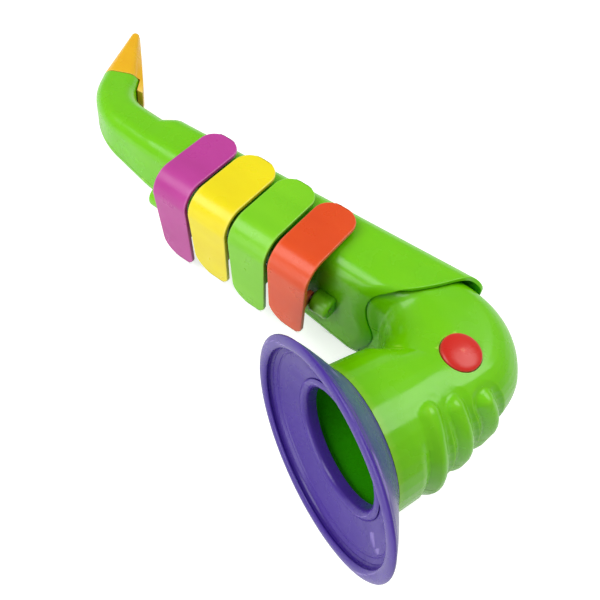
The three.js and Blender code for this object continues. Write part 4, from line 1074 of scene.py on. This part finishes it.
def metal(name, colour, dark, roughness, grain):
    """Drawn or rolled metal: its polish is broken by fine lines left by the die or the rolls. The grain is
    how many of them a metre holds each way, such as one in 0.25 mm across the wire and in 3 mm along it."""
    material, tree, surface, place = blank_material(name)
    drawn_out = add(tree, "ShaderNodeMapping", {"Vector": place, "Scale": grain})
    drawn_lines = add(tree, "ShaderNodeTexNoise", {"Vector": drawn_out, "Scale": 1.0, "Detail": 4.0})
    base = add(tree, "ShaderNodeMix", {0: drawn_lines, 6: linear(colour), 7: linear(dark)}, data_type="RGBA")
    tree.links.new(base.outputs[2], surface["Base Color"])
    spread = add(tree, "ShaderNodeMapRange", {
        "Value": drawn_lines, "To Min": roughness - 0.08, "To Max": roughness + 0.12,
    })
    tree.links.new(spread.outputs[0], surface["Roughness"])
    bump = add(tree, "ShaderNodeBump", {"Height": drawn_lines, "Strength": 0.3, "Distance": 0.00003})
    tree.links.new(bump.outputs[0], surface["Normal"])
    surface["Metallic"].default_value = 1.0
    return material


spring_steel = metal("drawn_spring_steel", "#B9BCC0", "#8E9298", 0.28, (300, 4000, 4000))


def bent_wire(name, paths):
    """Round wire bent along each path and cut square at its ends."""
    wire = strung(name, paths)
    run_tree(wire, wire_tree, {"Radius": SPRING_WIRE / 1000, "Material": spring_steel})
    return smoothed(wire, angle=60)


coils = bent_wire("key_spring_coils", coil_paths)
dress(coils, spring_steel, nodes=[f"{c[0]}_key_spring" for c in KEY_COLOURS])
for (name, *_), path in zip(KEY_COLOURS, leg_paths):
    leg_wire = bent_wire(f"{name}_spring_leg", [path])
    dress(leg_wire, spring_steel, body=f"{name}_key_lever")

# Cover screws
# Five zinc plated steel screws with flat cross-recessed heads, sunk in the rear cover.

SCREW_EDGE = 0.15
SCREW_SIZES = {
    "Head Radius": HEAD_RADIUS / 1000, "Head Height": 0.0018, "Shank Radius": 0.0014, "Shank Length": 0.012,
    "Recess Depth": 0.0011,
}

# the plating's fine crystals, drawn 0.8 mm wide to show, dull the polish evenly all round
zinc_steel = metal("zinc_plated_steel", "#C2C6CA", "#9CA1A8", 0.3, (1200, 1200, 1200))
screw_tree, given, result = new_tree("cross_head_screws", {
    **{label: "NodeSocketFloat" for label in SCREW_SIZES},
    "Facing": "NodeSocketRotation", "Seed": "NodeSocketInt", "Material": "NodeSocketMaterial",
})
known = {}
for label, source, times in (
        ("half up", "Head Height", -0.5), ("top", "Head Height", -1.0), ("half down", "Shank Length", 0.5),
        ("long bar", "Head Radius", 1.15), ("slim bar", "Head Radius", 0.3), ("deep bar", "Recess Depth", 2.0)):
    known[label] = add(screw_tree, "ShaderNodeMath", {0: given.outputs[source], 1: times}, operation="MULTIPLY")


def shifted(form, label):
    """A form moved along the screw's axis by a known height."""
    way = add(screw_tree, "ShaderNodeCombineXYZ", {"Z": known[label]})
    return add(screw_tree, "GeometryNodeTransform", {"Geometry": form, "Translation": way})


head = add(screw_tree, "GeometryNodeMeshCylinder", {
    "Vertices": 48, "Radius": given.outputs["Head Radius"], "Depth": given.outputs["Head Height"],
})
bar_size = add(screw_tree, "ShaderNodeCombineXYZ", {
    "X": known["long bar"], "Y": known["slim bar"], "Z": known["deep bar"],
})
bar = shifted(add(screw_tree, "GeometryNodeMeshCube", {"Size": bar_size}), "top")
bar_across = add(screw_tree, "GeometryNodeTransform", {"Geometry": bar, "Rotation": (0, 0, math.pi / 2)})
crossed = add(screw_tree, "GeometryNodeMeshBoolean", {"Mesh 1": shifted(head, "half up")},
              operation="DIFFERENCE", solver="EXACT")
for form in (bar, bar_across):
    screw_tree.links.new(form.outputs[0], crossed.inputs["Mesh 2"])
shank = add(screw_tree, "GeometryNodeMeshCylinder", {
    "Vertices": 24, "Radius": given.outputs["Shank Radius"], "Depth": given.outputs["Shank Length"],
})
screw = add(screw_tree, "GeometryNodeJoinGeometry")
for form in (crossed, shifted(shank, "half down")):
    screw_tree.links.new(form.outputs[0], screw.inputs[0])
# each screw stops at its own turn
spin = add(screw_tree, "FunctionNodeRandomValue", {"Seed": given.outputs["Seed"], 3: math.pi}, data_type="FLOAT")
own_turn = add(screw_tree, "ShaderNodeCombineXYZ", {"Z": spin.outputs[1]})
own_spin = add(screw_tree, "FunctionNodeEulerToRotation", {0: own_turn})
facing = add(screw_tree, "FunctionNodeRotateRotation", {
    "Rotation": given.outputs["Facing"], "Rotate By": own_spin,
}, rotation_space="LOCAL")
placed = add(screw_tree, "GeometryNodeInstanceOnPoints", {
    "Points": given.outputs["Geometry"], "Instance": screw, "Rotation": facing,
})
ended(screw_tree, placed, given, result)

screws = strung("cover_screw_set", [[FAR_FACE @ Vector((x, y, HEAD_RECESS - FIT_GAP))] for x, y in SCREW_PLACES])
run_tree(screws, screw_tree, {
    **SCREW_SIZES, "Facing": (LAID_DOWN @ FAR_FACE).to_euler(), "Seed": 4, "Material": zinc_steel,
})
eased(screws, SCREW_EDGE, 2, angle=50)
smoothed(screws, angle=40)
dress(screws, zinc_steel, nodes=[f"cover_screw_{i}" for i in range(1, 6)])

# Pieces that keep their solids' shapes
# The hinge rod, the pads under the plates, and the reed plate with its gasket, reeds and screws inside the
# body, each in the finish of its real metal, rubber or plastic.


def matt(name, colour, dark, roughness, grain, depth):
    """Matt rubber or textured ABS: dusty patches of about 8 mm, and a fine even grain of 0.7 to 1.1 mm, drawn
    coarser than real to show."""
    material, tree, surface, place = blank_material(name)
    dust = add(tree, "ShaderNodeTexNoise", {"Vector": place, "Scale": 120.0, "Detail": 5.0})
    base = add(tree, "ShaderNodeMix", {0: dust, 6: linear(colour), 7: linear(dark)}, data_type="RGBA")
    tree.links.new(base.outputs[2], surface["Base Color"])
    fine = add(tree, "ShaderNodeTexNoise", {"Vector": place, "Scale": grain, "Detail": 2.0})
    bump = add(tree, "ShaderNodeBump", {"Height": fine, "Strength": 0.5, "Distance": depth})
    tree.links.new(bump.outputs[0], surface["Normal"])
    surface["Roughness"].default_value = roughness
    return material


pad_rubber = matt("matt_black_rubber", "#2C2E30", "#1E2022", 0.75, 1400.0, 0.00008)
plate_abs = matt("textured_black_abs", "#303234", "#242628", 0.55, 900.0, 0.00006)
reed_brass = metal("rolled_brass", "#D6B25C", "#B08C3C", 0.3, (2500, 200, 2500))
names = [name for name, *_ in KEY_COLOURS]
for material, nodes in (
        (zinc_steel, ["hinge_rod", "bow_screw", "reed_plate_screw_1", "reed_plate_screw_2"]),
        (pad_rubber, ["reed_gasket", *(f"{name}_key_pad" for name in names)]),
        (reed_brass, [f"{name}_reed" for name in names]),
        (plate_abs, ["reed_plate"])):
    for node in nodes:
        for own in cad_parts[node].material_slots:
            own.material = material

# Floor, light and camera
# A white sweep under soft studio light, seen as the photograph sees it.


def stage_white(name, colour, lift, mirror_share=0.35):
    """Pale matt card. The camera sees it lifted to white, reflections less so, and its shadow stays."""
    material = bpy.data.materials.new(name)
    material.use_nodes = True
    tree = material.node_tree
    tree.nodes.clear()
    path = add(tree, "ShaderNodeLightPath")
    mirrored = add(tree, "ShaderNodeMath", {0: path.outputs["Is Glossy Ray"], 1: mirror_share}, operation="MULTIPLY")
    seen = add(tree, "ShaderNodeMath", {0: path.outputs["Is Camera Ray"], 1: mirrored}, operation="MAXIMUM")
    strength = add(tree, "ShaderNodeMath", {0: seen, 1: lift}, operation="MULTIPLY")
    card = add(tree, "ShaderNodeBsdfDiffuse", {"Color": linear(colour)})
    glow = add(tree, "ShaderNodeEmission", {"Color": (1, 1, 1, 1), "Strength": strength})
    both = add(tree, "ShaderNodeAddShader", {0: card, 1: glow})
    add(tree, "ShaderNodeOutputMaterial", {"Surface": both})
    return material


floor_mesh = bpy.data.meshes.new("floor")
floor_mesh.from_pydata([(-6, -6, 0), (6, -6, 0), (6, 6, 0), (-6, 6, 0)], [], [(0, 1, 2, 3)])
floor_mesh.materials.append(stage_white("white_card", "#E6E6E6", 0.6))
linked("floor", floor_mesh)

world = bpy.data.worlds.new("studio")
bpy.context.scene.world = world
world.use_nodes = True
tree = world.node_tree
tree.nodes.clear()
path = add(tree, "ShaderNodeLightPath")
behind = add(tree, "ShaderNodeBackground", {"Color": (1, 1, 1, 1), "Strength": 1.0})
around = add(tree, "ShaderNodeBackground", {"Color": (1, 0.99, 0.95, 1), "Strength": 0.4})
pick = add(tree, "ShaderNodeMixShader", {0: path.outputs["Is Camera Ray"], 1: around, 2: behind})
add(tree, "ShaderNodeOutputWorld", {"Surface": pick})


def soft_light(name, place, aim, width, power):
    """A square softbox turned towards a point."""
    lamp = bpy.data.lights.new(name, "AREA")
    lamp.shape = "SQUARE"
    lamp.size = width
    lamp.energy = power
    made = linked(name, lamp)
    made.location = place
    made.rotation_euler = (Vector(aim) - Vector(place)).to_track_quat("-Z", "Y").to_euler()


soft_light("rear_softbox", (0.33, 0.74, 1.03), (0, 0, 0.05), 0.8, 8)
soft_light("left_softbox", (-0.62, -0.42, 1.06), (0, 0, 0.05), 0.8, 8.5)
soft_light("low_softbox", (-0.15, -1.2, 0.35), (0, 0, 0.04), 0.9, 7)

# the photograph's view: the instrument's axes and place as the camera has them, and its lens in pixels
VIEW = Matrix(((0.78366, 0.60397, 0.14523), (0.57832, -0.62402, -0.52549), (-0.22675, 0.49579, -0.83831)))
VIEW_SHIFT = Vector((64.61, 40.48, 330.3))
FOCAL_PIXELS = 699.7
FRAME_PIXELS = 600
SENSOR_WIDTH = 36

sight = bpy.data.cameras.new("camera")
sight.sensor_width = SENSOR_WIDTH
sight.lens = FOCAL_PIXELS / FRAME_PIXELS * SENSOR_WIDTH
camera = linked("camera", sight)
eye = -(VIEW.transposed() @ VIEW_SHIFT)
axes = Matrix((VIEW[0], -VIEW[1], -VIEW[2])).transposed()
camera.matrix_world = LAID_DOWN @ Matrix.Translation(eye * 0.001) @ axes.to_quaternion().to_matrix().to_4x4()
bpy.context.scene.camera = camera
bpy.context.scene.view_settings.view_transform = "Standard"
